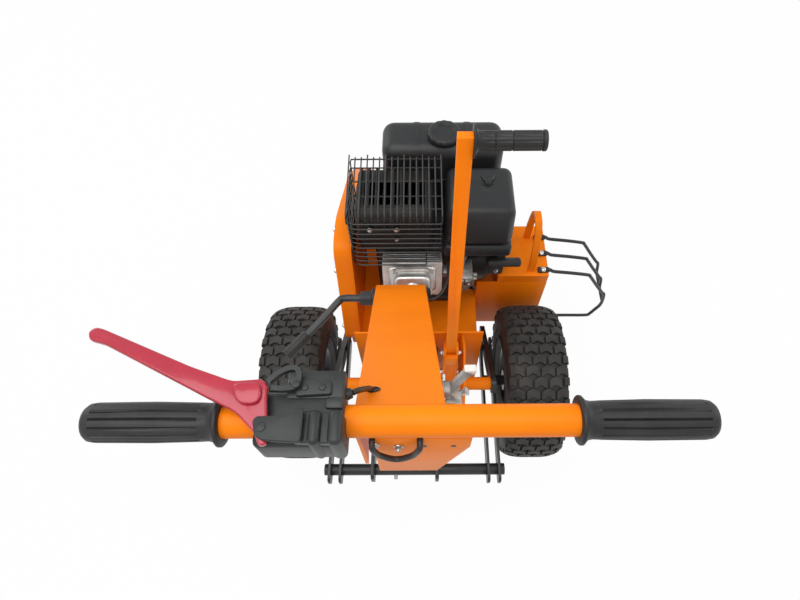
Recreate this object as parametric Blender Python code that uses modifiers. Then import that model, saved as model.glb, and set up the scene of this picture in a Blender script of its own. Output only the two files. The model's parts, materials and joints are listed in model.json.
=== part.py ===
"""Walk-behind trencher, modelled sub-part by sub-part.

Metres, +Z up, +Y forward (away from the person at the handlebar), +X to that
person's right. Sizes are worked from the wheel axle, on the ground, and one
empty moves the whole machine so that its box stands centred on the origin.
"""
import math

import bmesh
import bpy
from mathutils import Matrix, Vector

# Clearances
TOUCH_GAP = 0.0003
RUN_GAP = 0.0015

# Wheels
TYRE_RADIUS = 0.190
TYRE_WIDTH = 0.140
RIM_RADIUS = 0.078
RIM_WIDTH = 0.104
HUB_RADIUS = 0.026
HUB_WIDTH = 0.116
AXLE_RADIUS = 0.0125
AXLE_Y = 0.0
WHEEL_X = 0.282

# Wheel arms and the rear tube on which they swing
ARM_THICK = 0.006
ARM_HEIGHT = 0.040
ARM_OUTER_X = 0.196
ARM_INNER_X = 0.171
ARM_Z = 0.200
ARM_FRONT_Y = 0.112
ARM_REAR_Y = -0.256
REAR_TUBE_RADIUS = 0.013
REAR_TUBE_Y = -0.225
CROSS_PIN_RADIUS = 0.006
CROSS_PIN_Y = 0.088
RAIL_LEFT_X = -0.096
RAIL_RIGHT_X = 0.052
RAIL_THICK = 0.008

# Chassis box of folded sheet
SHEET = 0.004
BOX_LEFT_X = -0.1334
BOX_RIGHT_X = 0.158
BOX_REAR_Y = 0.030
DECK_FRONT_Y = 0.420
BOX_FRONT_Y = 0.660
BOX_BOTTOM_Z = 0.120
ENGINE_BASE_Z = 0.260
REAR_WALL_TOP_Z = 0.400

# Right-hand housing
HOUSING_RIGHT_X = 0.334
TYRE_ROOM = 0.016
HOUSING_REAR_Y = AXLE_Y + TYRE_RADIUS + TYRE_ROOM
HOUSING_FRONT_Y = 0.360
HOUSING_TOP_Z = 0.360
HOUSING_BOTTOM_Z = 0.120

# Belt guard
GUARD_LEFT_X = -0.172
GUARD_REAR_Y = 0.077
GUARD_REAR_FOOT_Z = 0.262
GUARD_FRONT_Y = 0.618
GUARD_TOP_Z = 0.542
GUARD_BOTTOM_Z = 0.110
GUARD_BACK_THICK = 0.0025
GUARD_SHELL = 0.0025

# Handlebar and grips
BAR_Y = -0.360
BAR_Z = 0.990
BAR_RADIUS = 0.016
BAR_HALF_LENGTH = 0.292
GRIP_INNER_X = 0.171
GRIP_OUTER_X = 0.304
GRIP_RADIUS = 0.0195
GRIP_FLANGE_RADIUS = 0.0225
GRIP_FLANGE_WIDTH = 0.010

# Column, whose upper end follows the bar
COLUMN_HALF_WIDTH = 0.046
COLUMN_SHEET = 0.004
COLUMN_SKEW = -0.052
COLUMN_TOP_Y = -0.020
COLUMN_TOP_Z = 0.668
RIDGE_AHEAD_OF_BAR = 0.0155
RIDGE_UNDER_BAR = 0.009
WEB_UNDER_BAR = 0.018
WEB_HEIGHT = 0.110
WEB_DEPTH = 0.0545

# Rear panel under the bar
PANEL_LEFT_X = -0.030
PANEL_RIGHT_X = 0.070
PANEL_LOW_RIGHT_X = 0.038
PANEL_HEIGHT = 0.133
PANEL_THICK = 0.004
PANEL_FACE_Y = BAR_Y - 0.0097
PANEL_UNDER_BAR = 0.0132

# Depth lever on its cross tube
ROCKSHAFT_Y = -0.052
ROCKSHAFT_Z = 0.300
ROCKSHAFT_RADIUS = 0.015
ROCKSHAFT_HALF_LENGTH = 0.190
CRANK_ARM_X = 0.1835
CRANK_ARM_THICK = 0.012
CRANK_ARM_LENGTH = 0.268
CRANK_SLOT_START = 0.152
CRANK_SLOT_HALF = 0.010
LEVER_X = 0.080
LEVER_THICK = 0.022
LEVER_WIDTH = 0.016
LEVER_LENGTH = 0.690
LEVER_LEAN_DEG = 7.0
LEVER_GRIP_LENGTH = 0.084
LEVER_GRIP_RADIUS = 0.0145
LEVER_GRIP_FLANGE = 0.024
LEVER_GRIP_DROP = 0.013

# Engine, of the 400 cc size, its crankshaft across the machine
CRANK_Y = 0.300
CRANK_HEIGHT = 0.133
CASE_LEFT_X = -0.088
CASE_RIGHT_X = 0.118
CASE_REAR_Y = 0.205
CASE_FRONT_Y = 0.415
CASE_HEIGHT = 0.215
CYLINDER_RISE_DEG = 25.0
CYLINDER_REACH = 0.172
OUTPUT_SHAFT_RADIUS = 0.0125
RECOIL_RADIUS = 0.104
RECOIL_DEPTH = 0.082
PULL_X = 0.188
PULL_RISE_DEG = 26.0
PULL_GRIP_LEFT = 0.018
PULL_GRIP_RIGHT = 0.062
PULL_GRIP_DEPTH = 0.022
TANK_LEFT_X = -0.064
TANK_RIGHT_X = 0.195
TANK_REAR_Y = 0.312
TANK_FRONT_Y = 0.410
TANK_BOTTOM_Z = 0.510
TANK_TOP_Z = 0.680
CAP_RADIUS = 0.036
CAP_HEIGHT = 0.017
CAP_X = 0.068
CAP_BEHIND_MIDDLE = 0.011
CAGE_LEFT_X = -0.1315
CAGE_RIGHT_X = 0.062
CAGE_REAR_Y = 0.155
CAGE_FRONT_Y = 0.308
CAGE_BOTTOM_Z = 0.490
CAGE_TOP_Z = 0.658
CAGE_WIRE = 0.0028
CLEANER_LEFT_X = 0.068
CLEANER_RIGHT_X = 0.214
CLEANER_REAR_Y = 0.161
CLEANER_FRONT_Y = 0.300
CLEANER_BOTTOM_Z = 0.510
CLEANER_SPLIT_Z = 0.545
CLEANER_TOP_Z = 0.655

# Drive
CRANK_PULLEY_RADIUS = 0.045
DRIVEN_PULLEY_RADIUS = 0.080
PULLEY_WIDTH = 0.022
PULLEY_X = -0.153
HEAD_SHAFT_Y = 0.520
HEAD_SHAFT_Z = 0.205
HEAD_SHAFT_RADIUS = 0.0175

# Boom and digging chain
BOOM_X = 0.080
BOOM_THICK = 0.020
BOOM_REAR_Y = 0.590
NOSE_Y = 0.930
NOSE_Z = 0.0815
HEAD_SPROCKET_RADIUS = 0.050
NOSE_WHEEL_RADIUS = 0.044
CHAIN_THICK = 0.012
CHAIN_WIDTH = 0.034
TOOTH_HEIGHT = 0.030
TOOTH_COUNT = 16
TOOTH_REACH = 0.0747

# Guard hoops on the right
HOOP_WIRE = 0.0042
HOOP_REACH = 0.1770
HOOP_TIP_Z = 0.205
HOOP_FIRST_BEND = 0.104
HOOP_DROP = 0.017
HOOP_UPPER_Z = HOUSING_TOP_Z - TOUCH_GAP - HOOP_WIRE
HOOP_LOWER_Z = 0.126
HOOP_FIRST_Y = HOUSING_REAR_Y + 0.016
HOOP_STEP = 0.050

# Controls
CLUTCH_LEVER_HEIGHT = 0.014
CLUTCH_CASTING_LEFT_X = -0.136
CLUTCH_CASTING_RIGHT_X = -0.052
CLUTCH_CASTING_REACH = 0.030
LEVER_TIP_BEHIND_BAR = 0.0332
CLUTCH_PIVOT = (CLUTCH_CASTING_LEFT_X + 0.012, BAR_Y - 0.012)
CLUTCH_LEVER_Z = BAR_Z + 0.0265
THROTTLE_Y = BAR_Y + 0.062
THROTTLE_Z = BAR_Z - 0.085
THROTTLE_ARM = 0.046
REST_LEVER_Y = -0.016
REST_LEVER_Z = 0.636
CABLE_RADIUS = 0.003
CABLE_LOOP_OUT = 0.010
CABLE_UNDER_BAR = 0.022

# Box of the whole machine, for the origin at the middle of its base
MACHINE_LEFT = -(WHEEL_X + TYRE_WIDTH / 2)
MACHINE_RIGHT = HOUSING_RIGHT_X + HOOP_REACH + HOOP_WIRE
MACHINE_FRONT = NOSE_Y + TOOTH_REACH
MACHINE_REAR = BAR_Y - LEVER_TIP_BEHIND_BAR


def clear_scene():
    for item in list(bpy.data.objects):
        bpy.data.objects.remove(item, do_unlink=True)


def new_collection(name):
    group = bpy.data.collections.new(name)
    bpy.context.scene.collection.children.link(group)
    return group


clear_scene()
parts_group = new_collection("walk_behind_trencher")
cutters_group = new_collection("cutters")
machine = bpy.data.objects.new("machine_origin", None)
machine.location = (
    -(MACHINE_LEFT + MACHINE_RIGHT) / 2,
    -(MACHINE_FRONT + MACHINE_REAR) / 2,
    0.0,
)
parts_group.objects.link(machine)


def paint(name, colour, roughness, metallic=0.0):
    material = bpy.data.materials.new(name)
    material.use_nodes = True
    shader = material.node_tree.nodes["Principled BSDF"]
    shader.inputs["Base Color"].default_value = (*colour, 1.0)
    shader.inputs["Roughness"].default_value = roughness
    shader.inputs["Metallic"].default_value = metallic
    material.diffuse_color = (*colour, 1.0)
    return material


ORANGE = (0.86, 0.17, 0.015)
RED = (0.55, 0.02, 0.06)
BLACK = (0.018, 0.018, 0.020)
RUBBER = (0.022, 0.022, 0.022)
GREY = (0.10, 0.10, 0.105)
SILVER = (0.62, 0.62, 0.62)


def joint_empty(name, position, parent=None):
    """An empty on a joint's axis; position is in machine coordinates."""
    empty = bpy.data.objects.new(name, None)
    empty.empty_display_size = 0.05
    parts_group.objects.link(empty)
    base = parent if parent else machine
    empty.parent = base
    empty["place"] = position
    offset = Vector(base["place"]) if parent else Vector((0, 0, 0))
    empty.location = Vector(position) - offset
    return empty


def place(item, look, joint=None):
    """Link a finished piece, give it a material of its own and its parent."""
    parts_group.objects.link(item)
    colour, roughness, metallic = look
    item.data.materials.clear()
    item.data.materials.append(paint(item.name + "_finish", colour, roughness, metallic))
    if joint:
        item.parent = joint
        item.location = Vector(item.location) - Vector(joint["place"])
    else:
        item.parent = machine
    if item.type == "MESH":
        item.data.shade_smooth()
        item.data.set_sharp_from_angle(angle=math.radians(35))
    return item


def as_guide(item):
    """Keep a cutter or a joined solid out of the model."""
    cutters_group.objects.link(item)
    item.parent = machine
    item.hide_render = True
    item.display_type = "WIRE"
    return item


def mesh_object(name, shape):
    bmesh.ops.recalc_face_normals(shape, faces=shape.faces)
    closed = all(edge.is_manifold for edge in shape.edges)
    if closed and shape.calc_volume(signed=True) < 0:
        bmesh.ops.reverse_faces(shape, faces=shape.faces)
    mesh = bpy.data.meshes.new(name)
    shape.to_mesh(mesh)
    shape.free()
    return bpy.data.objects.new(name, mesh)


def box(name, low, high, bevel=0.0, segments=1, turn=None):
    """A block between two corners, with rounded edges and an optional turn."""
    shape = bmesh.new()
    bmesh.ops.create_cube(shape, size=1.0)
    size = [b - a for a, b in zip(low, high)]
    middle = [(a + b) / 2 for a, b in zip(low, high)]
    bmesh.ops.scale(shape, vec=size, verts=shape.verts)
    if bevel:
        bmesh.ops.bevel(shape, geom=shape.edges, offset=bevel, segments=segments,
                        profile=0.5, affect="EDGES", material=-1)
    if turn:
        bmesh.ops.rotate(shape, cent=(0, 0, 0), matrix=turn, verts=shape.verts)
    bmesh.ops.translate(shape, vec=middle, verts=shape.verts)
    return mesh_object(name, shape)


def rod(name, start, end, radius, sides=20):
    """A straight round bar between two points."""
    start = Vector(start)
    end = Vector(end)
    shape = bmesh.new()
    bmesh.ops.create_cone(
        shape, cap_ends=True, segments=sides, radius1=radius, radius2=radius,
        depth=(end - start).length,
    )
    turn = (end - start).to_track_quat("Z", "Y").to_matrix()
    bmesh.ops.rotate(shape, cent=(0, 0, 0), matrix=turn, verts=shape.verts)
    bmesh.ops.translate(shape, vec=(start + end) / 2, verts=shape.verts)
    return mesh_object(name, shape)


def rounded(points, radius, steps=4):
    """Round the corners of a closed 2D outline, each with its own arc."""
    result = []
    count = len(points)
    for index, corner in enumerate(points):
        corner = Vector(corner)
        before = (Vector(points[index - 1]) - corner)
        after = (Vector(points[(index + 1) % count]) - corner)
        reach = min(radius, before.length * 0.45, after.length * 0.45)
        first = corner + before.normalized() * reach
        last = corner + after.normalized() * reach
        for step in range(steps + 1):
            t = step / steps
            result.append(first * (1 - t) ** 2 + corner * 2 * t * (1 - t) + last * t ** 2)
    return result


def circle(y, z, radius, sides=24):
    return [(y + radius * math.cos(2 * math.pi * k / sides),
             z + radius * math.sin(2 * math.pi * k / sides)) for k in range(sides)]


def plate(name, outline, middle, thickness, facing="X", holes=()):
    """A flat plate cut to an outline: (y, z) points facing X, (x, z) facing Y, (x, y) facing Z."""
    curve = bpy.data.curves.new(name, "CURVE")
    curve.dimensions = "2D"
    curve.fill_mode = "BOTH"
    curve.extrude = thickness / 2
    for path in (outline, *holes):
        line = curve.splines.new("POLY")
        line.points.add(len(path) - 1)
        for point, target in zip(path, line.points):
            target.co = (point[0], point[1], 0.0, 1.0)
        line.use_cyclic_u = True
    item = bpy.data.objects.new(name, curve)
    turns = {
        "X": Matrix(((0, 0, 1), (1, 0, 0), (0, 1, 0))),
        "Y": Matrix(((1, 0, 0), (0, 0, -1), (0, 1, 0))),
        "Z": Matrix.Identity(3),
    }
    places = {"X": (middle, 0, 0), "Y": (0, middle, 0), "Z": (0, 0, middle)}
    item.matrix_local = Matrix.Translation(places[facing]) @ turns[facing].to_4x4()
    return meshed(item)


def meshed(item):
    """Turn a curve into a closed mesh in machine coordinates."""
    bpy.context.scene.collection.objects.link(item)
    bpy.context.view_layer.update()
    evaluated = item.evaluated_get(bpy.context.evaluated_depsgraph_get())
    mesh = bpy.data.meshes.new_from_object(evaluated)
    shape = bmesh.new()
    shape.from_mesh(mesh)
    bmesh.ops.remove_doubles(shape, verts=shape.verts, dist=0.00001)
    bmesh.ops.dissolve_degenerate(shape, edges=shape.edges, dist=0.000001)
    shape.transform(item.matrix_world)
    result = mesh_object(item.name + "_mesh", shape)
    name = item.name
    bpy.data.objects.remove(item, do_unlink=True)
    bpy.data.meshes.remove(mesh)
    result.name = name
    return result


def smooth_route(points, steps):
    """Points on a smooth curve through the route's own points."""
    nodes = [Vector(p) for p in points]
    nodes = [nodes[0] * 2 - nodes[1]] + nodes + [nodes[-1] * 2 - nodes[-2]]
    route = []
    for a, b, c, d in zip(nodes, nodes[1:], nodes[2:], nodes[3:]):
        for step in range(steps):
            t = step / steps
            route.append(0.5 * ((2 * b) + (c - a) * t + (2 * a - 5 * b + 4 * c - d) * t * t
                                + (3 * b - a - 3 * c + d) * t ** 3))
    route.append(nodes[-2])
    return route


def wire(name, points, radius, steps=1, resolution=2):
    """A bent round bar, tube or cable with filled ends."""
    curve = bpy.data.curves.new(name, "CURVE")
    curve.dimensions = "3D"
    curve.bevel_depth = radius
    curve.bevel_resolution = resolution
    curve.use_fill_caps = True
    route = smooth_route(points, steps) if steps > 1 else [Vector(p) for p in points]
    line = curve.splines.new("POLY")
    line.points.add(len(route) - 1)
    for point, target in zip(route, line.points):
        target.co = (*point, 1.0)
    return meshed(bpy.data.objects.new(name, curve))


def turned(name, profile, centre, axis="X", steps=32):
    """A turned piece; the profile is (radius, height) down its outer side, on the axis at both ends
    or a closed ring."""
    mesh = bpy.data.meshes.new(name)
    closed = profile[0][0] > 0.0001
    edges = [(i, i + 1) for i in range(len(profile) - 1)]
    if closed:
        edges.append((len(profile) - 1, 0))
    mesh.from_pydata([(r, 0.0, h) for r, h in profile], edges, [])
    item = bpy.data.objects.new(name, mesh)
    screw = item.modifiers.new("turn", "SCREW")
    screw.steps = steps
    screw.render_steps = steps
    screw.use_merge_vertices = True
    screw.merge_threshold = 0.00001
    turns = {"X": Matrix.Rotation(math.pi / 2, 3, "Y"), "Y": Matrix.Rotation(-math.pi / 2, 3, "X"),
             "Z": Matrix.Identity(3)}
    item.matrix_local = Matrix.Translation(centre) @ turns[axis].to_4x4()
    return meshed(item)


def cut(item, *tools):
    return combine(item, "DIFFERENCE", tools)


def join(item, *others):
    return combine(item, "UNION", others)


def combine(item, operation, others):
    for number, other in enumerate(others):
        as_guide(other)
        other.name = item.name + "_" + operation.lower() + str(number)
        change = item.modifiers.new(other.name, "BOOLEAN")
        change.operation = operation
        change.solver = "EXACT"
        change.object = other
    return item


STEEL_ORANGE = (ORANGE, 0.30, 0.0)
STEEL_BLACK = (BLACK, 0.38, 0.0)
SOFT_BLACK = (RUBBER, 0.75, 0.0)
MOULDED_BLACK = (BLACK, 0.45, 0.0)
CAST_GREY = (GREY, 0.5, 0.3)
BRIGHT = (SILVER, 0.32, 1.0)
GLOSS_RED = (RED, 0.18, 0.0)

wheel_arm_joint = joint_empty("wheel_arm_axis", (0, REAR_TUBE_Y, ARM_Z))
left_wheel_joint = joint_empty("left_wheel_axis", (-WHEEL_X, AXLE_Y, TYRE_RADIUS), wheel_arm_joint)
right_wheel_joint = joint_empty("right_wheel_axis", (WHEEL_X, AXLE_Y, TYRE_RADIUS), wheel_arm_joint)


def turned_to_left(name, profile, centre, steps=32):
    """The same turned piece with its profile's far end toward -X."""
    return turned(name, [(r, -h) for r, h in profile], centre, "X", steps)


def build_wheels():
    half = TYRE_WIDTH / 2
    bead = RIM_WIDTH / 2 - TOUCH_GAP
    bore = RIM_RADIUS + TOUCH_GAP
    lip = RIM_RADIUS + 0.007
    wall = [(bore, bead), (lip + 0.001, bead), (lip + 0.004, bead + 0.008), (lip + 0.028, half - 0.003),
            (TYRE_RADIUS - 0.052, half), (TYRE_RADIUS - 0.022, half - 0.002),
            (TYRE_RADIUS - 0.007, half - 0.010), (TYRE_RADIUS, half - 0.026)]
    tyre = wall + [(r, -h) for r, h in reversed(wall)]
    edge = RIM_WIDTH / 2
    hub = HUB_WIDTH / 2
    hub_bore = AXLE_RADIUS + TOUCH_GAP
    face = [(hub_bore, hub), (HUB_RADIUS, hub), (HUB_RADIUS, 0.014), (RIM_RADIUS - 0.014, 0.008),
            (RIM_RADIUS - 0.005, edge), (RIM_RADIUS, edge + 0.004), (lip, edge + 0.004),
            (lip, edge), (RIM_RADIUS, edge)]
    rim = face + [(r, -h) for r, h in reversed(face)]
    for side, joint in ((-1, left_wheel_joint), (1, right_wheel_joint)):
        word = "left" if side < 0 else "right"
        centre = (side * WHEEL_X, AXLE_Y, TYRE_RADIUS)
        place(turned(word + "_tyre", tyre, centre, steps=28), SOFT_BLACK, joint)
        place(turned(word + "_rim", rim, centre, steps=28), STEEL_BLACK, joint)


def build_wheel_arms():
    low = ARM_Z - ARM_HEIGHT / 2
    high = ARM_Z + ARM_HEIGHT / 2
    outline = rounded([(ARM_REAR_Y, low), (ARM_FRONT_Y, low), (ARM_FRONT_Y, high),
                       (ARM_REAR_Y, high)], 0.014, 3)
    hole = circle(REAR_TUBE_Y, ARM_Z, REAR_TUBE_RADIUS + TOUCH_GAP, 20)
    nut_x = WHEEL_X + HUB_WIDTH / 2 + RUN_GAP
    for side in (-1, 1):
        word = "left" if side < 0 else "right"
        arm = plate(word + "_wheel_arm", outline, side * ARM_OUTER_X, ARM_THICK, holes=[hole])
        inner = plate("inner_bar", outline, side * ARM_INNER_X, ARM_THICK, holes=[hole])
        start = ARM_INNER_X - ARM_THICK / 2 + 0.001
        axle = rod("axle", (side * start, AXLE_Y, TYRE_RADIUS),
                   (side * (nut_x + 0.004), AXLE_Y, TYRE_RADIUS), AXLE_RADIUS)
        nut = rod("nut", (side * nut_x, AXLE_Y, TYRE_RADIUS),
                  (side * (nut_x + 0.009), AXLE_Y, TYRE_RADIUS), AXLE_RADIUS + 0.007, 6)
        pin = rod("pin", (side * start, CROSS_PIN_Y, ARM_Z),
                  (side * (ARM_OUTER_X + 0.002), CROSS_PIN_Y, ARM_Z), CROSS_PIN_RADIUS, 16)
        join(arm, inner, axle, nut, pin)
        place(arm, STEEL_BLACK, wheel_arm_joint)
    end = ARM_OUTER_X + 0.013
    place(rod("rear_tube", (-end, REAR_TUBE_Y, ARM_Z), (end, REAR_TUBE_Y, ARM_Z), REAR_TUBE_RADIUS),
          STEEL_BLACK, wheel_arm_joint)


def build_chassis():
    wall_top = ENGINE_BASE_Z - TOUCH_GAP
    rear = box("chassis_box", (BOX_LEFT_X, BOX_REAR_Y, BOX_BOTTOM_Z),
               (BOX_RIGHT_X, BOX_REAR_Y + SHEET, REAR_WALL_TOP_Z))
    deck = box("deck", (BOX_LEFT_X, BOX_REAR_Y + 0.001, wall_top - SHEET),
               (BOX_RIGHT_X, DECK_FRONT_Y, wall_top))
    left = box("left_wall", (BOX_LEFT_X, BOX_REAR_Y + 0.0005, BOX_BOTTOM_Z),
               (BOX_LEFT_X + SHEET, BOX_FRONT_Y, wall_top - 0.001))
    right = box("right_wall", (BOX_RIGHT_X - SHEET, BOX_REAR_Y + 0.0005, BOX_BOTTOM_Z),
                (BOX_RIGHT_X, BOX_FRONT_Y, wall_top - 0.001))
    brace = box("brace", (BOX_LEFT_X + 0.001, DECK_FRONT_Y - 0.020, BOX_BOTTOM_Z + 0.01),
                (BOX_RIGHT_X - 0.001, DECK_FRONT_Y - 0.016, wall_top - 0.001))
    shaft_hole = rod("shaft_hole", (BOX_LEFT_X - 0.01, HEAD_SHAFT_Y, HEAD_SHAFT_Z),
                     (BOX_RIGHT_X + 0.01, HEAD_SHAFT_Y, HEAD_SHAFT_Z), HEAD_SHAFT_RADIUS + 0.004)
    join(rear, deck, left, right, brace)
    cut(rear, shaft_hole)
    place(rear, STEEL_ORANGE)

    for word, x in (("left", RAIL_LEFT_X), ("right", RAIL_RIGHT_X)):
        ear = ROCKSHAFT_Z + 0.034
        outline = rounded([
            (BOX_REAR_Y - TOUCH_GAP, BOX_BOTTOM_Z + 0.03), (BOX_REAR_Y - TOUCH_GAP, ear),
            (ROCKSHAFT_Y - 0.032, ear), (ROCKSHAFT_Y - 0.046, ARM_Z + 0.036),
            (REAR_TUBE_Y - 0.026, ARM_Z + 0.026), (REAR_TUBE_Y - 0.026, ARM_Z - 0.022),
            (ROCKSHAFT_Y, BOX_BOTTOM_Z + 0.03)], 0.012, 3)
        holes = [circle(REAR_TUBE_Y, ARM_Z, REAR_TUBE_RADIUS + TOUCH_GAP, 20),
                 circle(ROCKSHAFT_Y, ROCKSHAFT_Z, ROCKSHAFT_RADIUS + TOUCH_GAP, 20)]
        place(plate(word + "_frame_rail", outline, x, RAIL_THICK, holes=holes), STEEL_ORANGE)


def build_right_housing():
    inner = BOX_RIGHT_X + TOUCH_GAP
    step_x = CASE_RIGHT_X + RECOIL_DEPTH + 0.008
    top = box("right_housing", (step_x, HOUSING_REAR_Y, HOUSING_TOP_Z - SHEET),
              (HOUSING_RIGHT_X, HOUSING_FRONT_Y, HOUSING_TOP_Z))
    step = box("step", (step_x + 0.0005, HOUSING_REAR_Y + 0.001, ENGINE_BASE_Z - SHEET),
               (step_x + SHEET, HOUSING_FRONT_Y - 0.001, HOUSING_TOP_Z - 0.001))
    shelf = box("shelf", (inner, HOUSING_REAR_Y + 0.001, ENGINE_BASE_Z - SHEET - 0.001),
                (step_x + 0.002, HOUSING_FRONT_Y - 0.001, ENGINE_BASE_Z - 0.001))
    cheek = box("cheek", (step_x + 0.0008, HOUSING_REAR_Y + 0.0008, ENGINE_BASE_Z),
                (HOUSING_RIGHT_X - 0.001, HOUSING_REAR_Y + SHEET - 0.0002, HOUSING_TOP_Z - 0.0015))
    low_top = ENGINE_BASE_Z + 0.070
    rear = box("rear", (inner, HOUSING_REAR_Y + 0.0005, HOUSING_BOTTOM_Z),
               (HOUSING_RIGHT_X, HOUSING_REAR_Y + SHEET, low_top))
    front = box("front", (inner + 0.0005, HOUSING_FRONT_Y - SHEET, HOUSING_BOTTOM_Z + 0.0005),
                (HOUSING_RIGHT_X - 0.0003, HOUSING_FRONT_Y - 0.0005, ENGINE_BASE_Z - 0.0018))
    brow = box("brow", (step_x + 0.0008, HOUSING_FRONT_Y - SHEET + 0.0002, ENGINE_BASE_Z - 0.003),
               (HOUSING_RIGHT_X - 0.001, HOUSING_FRONT_Y - 0.0008, HOUSING_TOP_Z - 0.0015))
    side = box("side", (HOUSING_RIGHT_X - SHEET, HOUSING_REAR_Y + 0.001, HOUSING_BOTTOM_Z),
               (HOUSING_RIGHT_X - 0.0005, HOUSING_FRONT_Y - 0.001, HOUSING_TOP_Z - 0.001))
    join(top, step, shelf, cheek, rear, front, brow, side)
    place(top, STEEL_ORANGE)

    x = HOUSING_RIGHT_X - 0.044
    foot = HOUSING_TOP_Z + TOUCH_GAP
    hoop = wire("lift_hoop", [
        (x, HOUSING_REAR_Y + 0.016, foot), (x, HOUSING_REAR_Y + 0.020, foot + 0.06),
        (x, HOUSING_REAR_Y + 0.036, foot + 0.125), (x, HOUSING_REAR_Y + 0.066, foot + 0.155),
        (x, HOUSING_REAR_Y + 0.098, foot + 0.135), (x, HOUSING_REAR_Y + 0.116, foot + 0.06),
        (x, HOUSING_REAR_Y + 0.118, foot)], 0.0065, steps=4, resolution=2)
    place(hoop, STEEL_ORANGE)

    for number in range(3):
        y = HOOP_FIRST_Y + number * HOOP_STEP
        start = HOUSING_RIGHT_X + TOUCH_GAP
        reach = HOUSING_RIGHT_X + HOOP_REACH
        bend = HOUSING_RIGHT_X + HOOP_FIRST_BEND
        upper = HOOP_UPPER_Z - HOOP_DROP
        route = [(start, y, HOOP_UPPER_Z), (bend, y, upper), (bend + 0.008, y, upper - 0.007),
                 (reach - 0.014, y, upper - 0.086), (reach - 0.005, y, upper - 0.098)]
        if number == 0:
            route += [(reach, y, HOOP_TIP_Z), (reach, y, upper - 0.150),
                      (reach - 0.002, y, upper - 0.162), (reach - 0.016, y, HOOP_LOWER_Z + 0.010),
                      (reach - 0.026, y, HOOP_LOWER_Z), (start, y, HOOP_LOWER_Z)]
        else:
            tie_end = y - HOOP_STEP + HOOP_WIRE + TOUCH_GAP
            route += [(reach, y, HOOP_TIP_Z + 0.012), (reach, y - 0.004, HOOP_TIP_Z + 0.003),
                      (reach, y - 0.013, HOOP_TIP_Z), (reach, tie_end, HOOP_TIP_Z)]
        place(wire("guard_hoop_" + str(number + 1), route, HOOP_WIRE), STEEL_BLACK)


def guard_outline():
    return rounded([
        (0.132, GUARD_REAR_FOOT_Z), (GUARD_REAR_Y, GUARD_REAR_FOOT_Z), (0.138, 0.455),
        (0.162, GUARD_TOP_Z), (0.245, GUARD_TOP_Z), (0.466, 0.434), (0.600, 0.330),
        (GUARD_FRONT_Y, 0.230), (GUARD_FRONT_Y, GUARD_BOTTOM_Z), (0.138, GUARD_BOTTOM_Z)],
        0.030, 4)


def build_belt_guard():
    open_x = BOX_LEFT_X - TOUCH_GAP - GUARD_BACK_THICK - TOUCH_GAP
    shape = bmesh.new()
    face = shape.faces.new([shape.verts.new((GUARD_LEFT_X, y, z)) for y, z in guard_outline()])
    sides = bmesh.ops.extrude_edge_only(shape, edges=face.edges)
    moved = [v for v in sides["geom"] if isinstance(v, bmesh.types.BMVert)]
    bmesh.ops.translate(shape, vec=(open_x - GUARD_LEFT_X, 0, 0), verts=moved)
    guard = mesh_object("belt_guard", shape)
    wall = guard.modifiers.new("sheet", "SOLIDIFY")
    wall.thickness = GUARD_SHELL
    wall.offset = -1.0
    wall.use_even_offset = True
    place(guard, STEEL_ORANGE)

    middle = BOX_LEFT_X - TOUCH_GAP - GUARD_BACK_THICK / 2
    holes = [circle(CRANK_Y, ENGINE_BASE_Z + CRANK_HEIGHT, OUTPUT_SHAFT_RADIUS + 0.010, 20),
             circle(HEAD_SHAFT_Y, HEAD_SHAFT_Z, HEAD_SHAFT_RADIUS + 0.004, 20)]
    place(plate("belt_guard_back", guard_outline(), middle, GUARD_BACK_THICK, holes=holes),
          STEEL_ORANGE)


def strip(points, thickness):
    """A folded strip's outline: the points, then the same line moved in by its thickness."""
    line = [Vector(p) for p in points]
    inner = []
    for index, point in enumerate(line):
        before = (point - line[index - 1]).normalized() if index else None
        after = (line[index + 1] - point).normalized() if index < len(line) - 1 else None
        sides = [Vector((d.y, -d.x)) for d in (before, after) if d is not None]
        normal = sum(sides, Vector((0, 0))).normalized()
        inner.append(point + normal * thickness / normal.dot(sides[0]))
    return line + list(reversed(inner))


def skew_at(y):
    """How far to the right the column's middle line lies at a distance forward."""
    return COLUMN_SKEW * (y - BAR_Y)


def skewed(item):
    """Turn a column piece so that its foot stands to the left of the bar's middle."""
    for vert in item.data.vertices:
        vert.co.x += skew_at(vert.co.y)
    return item


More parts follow.
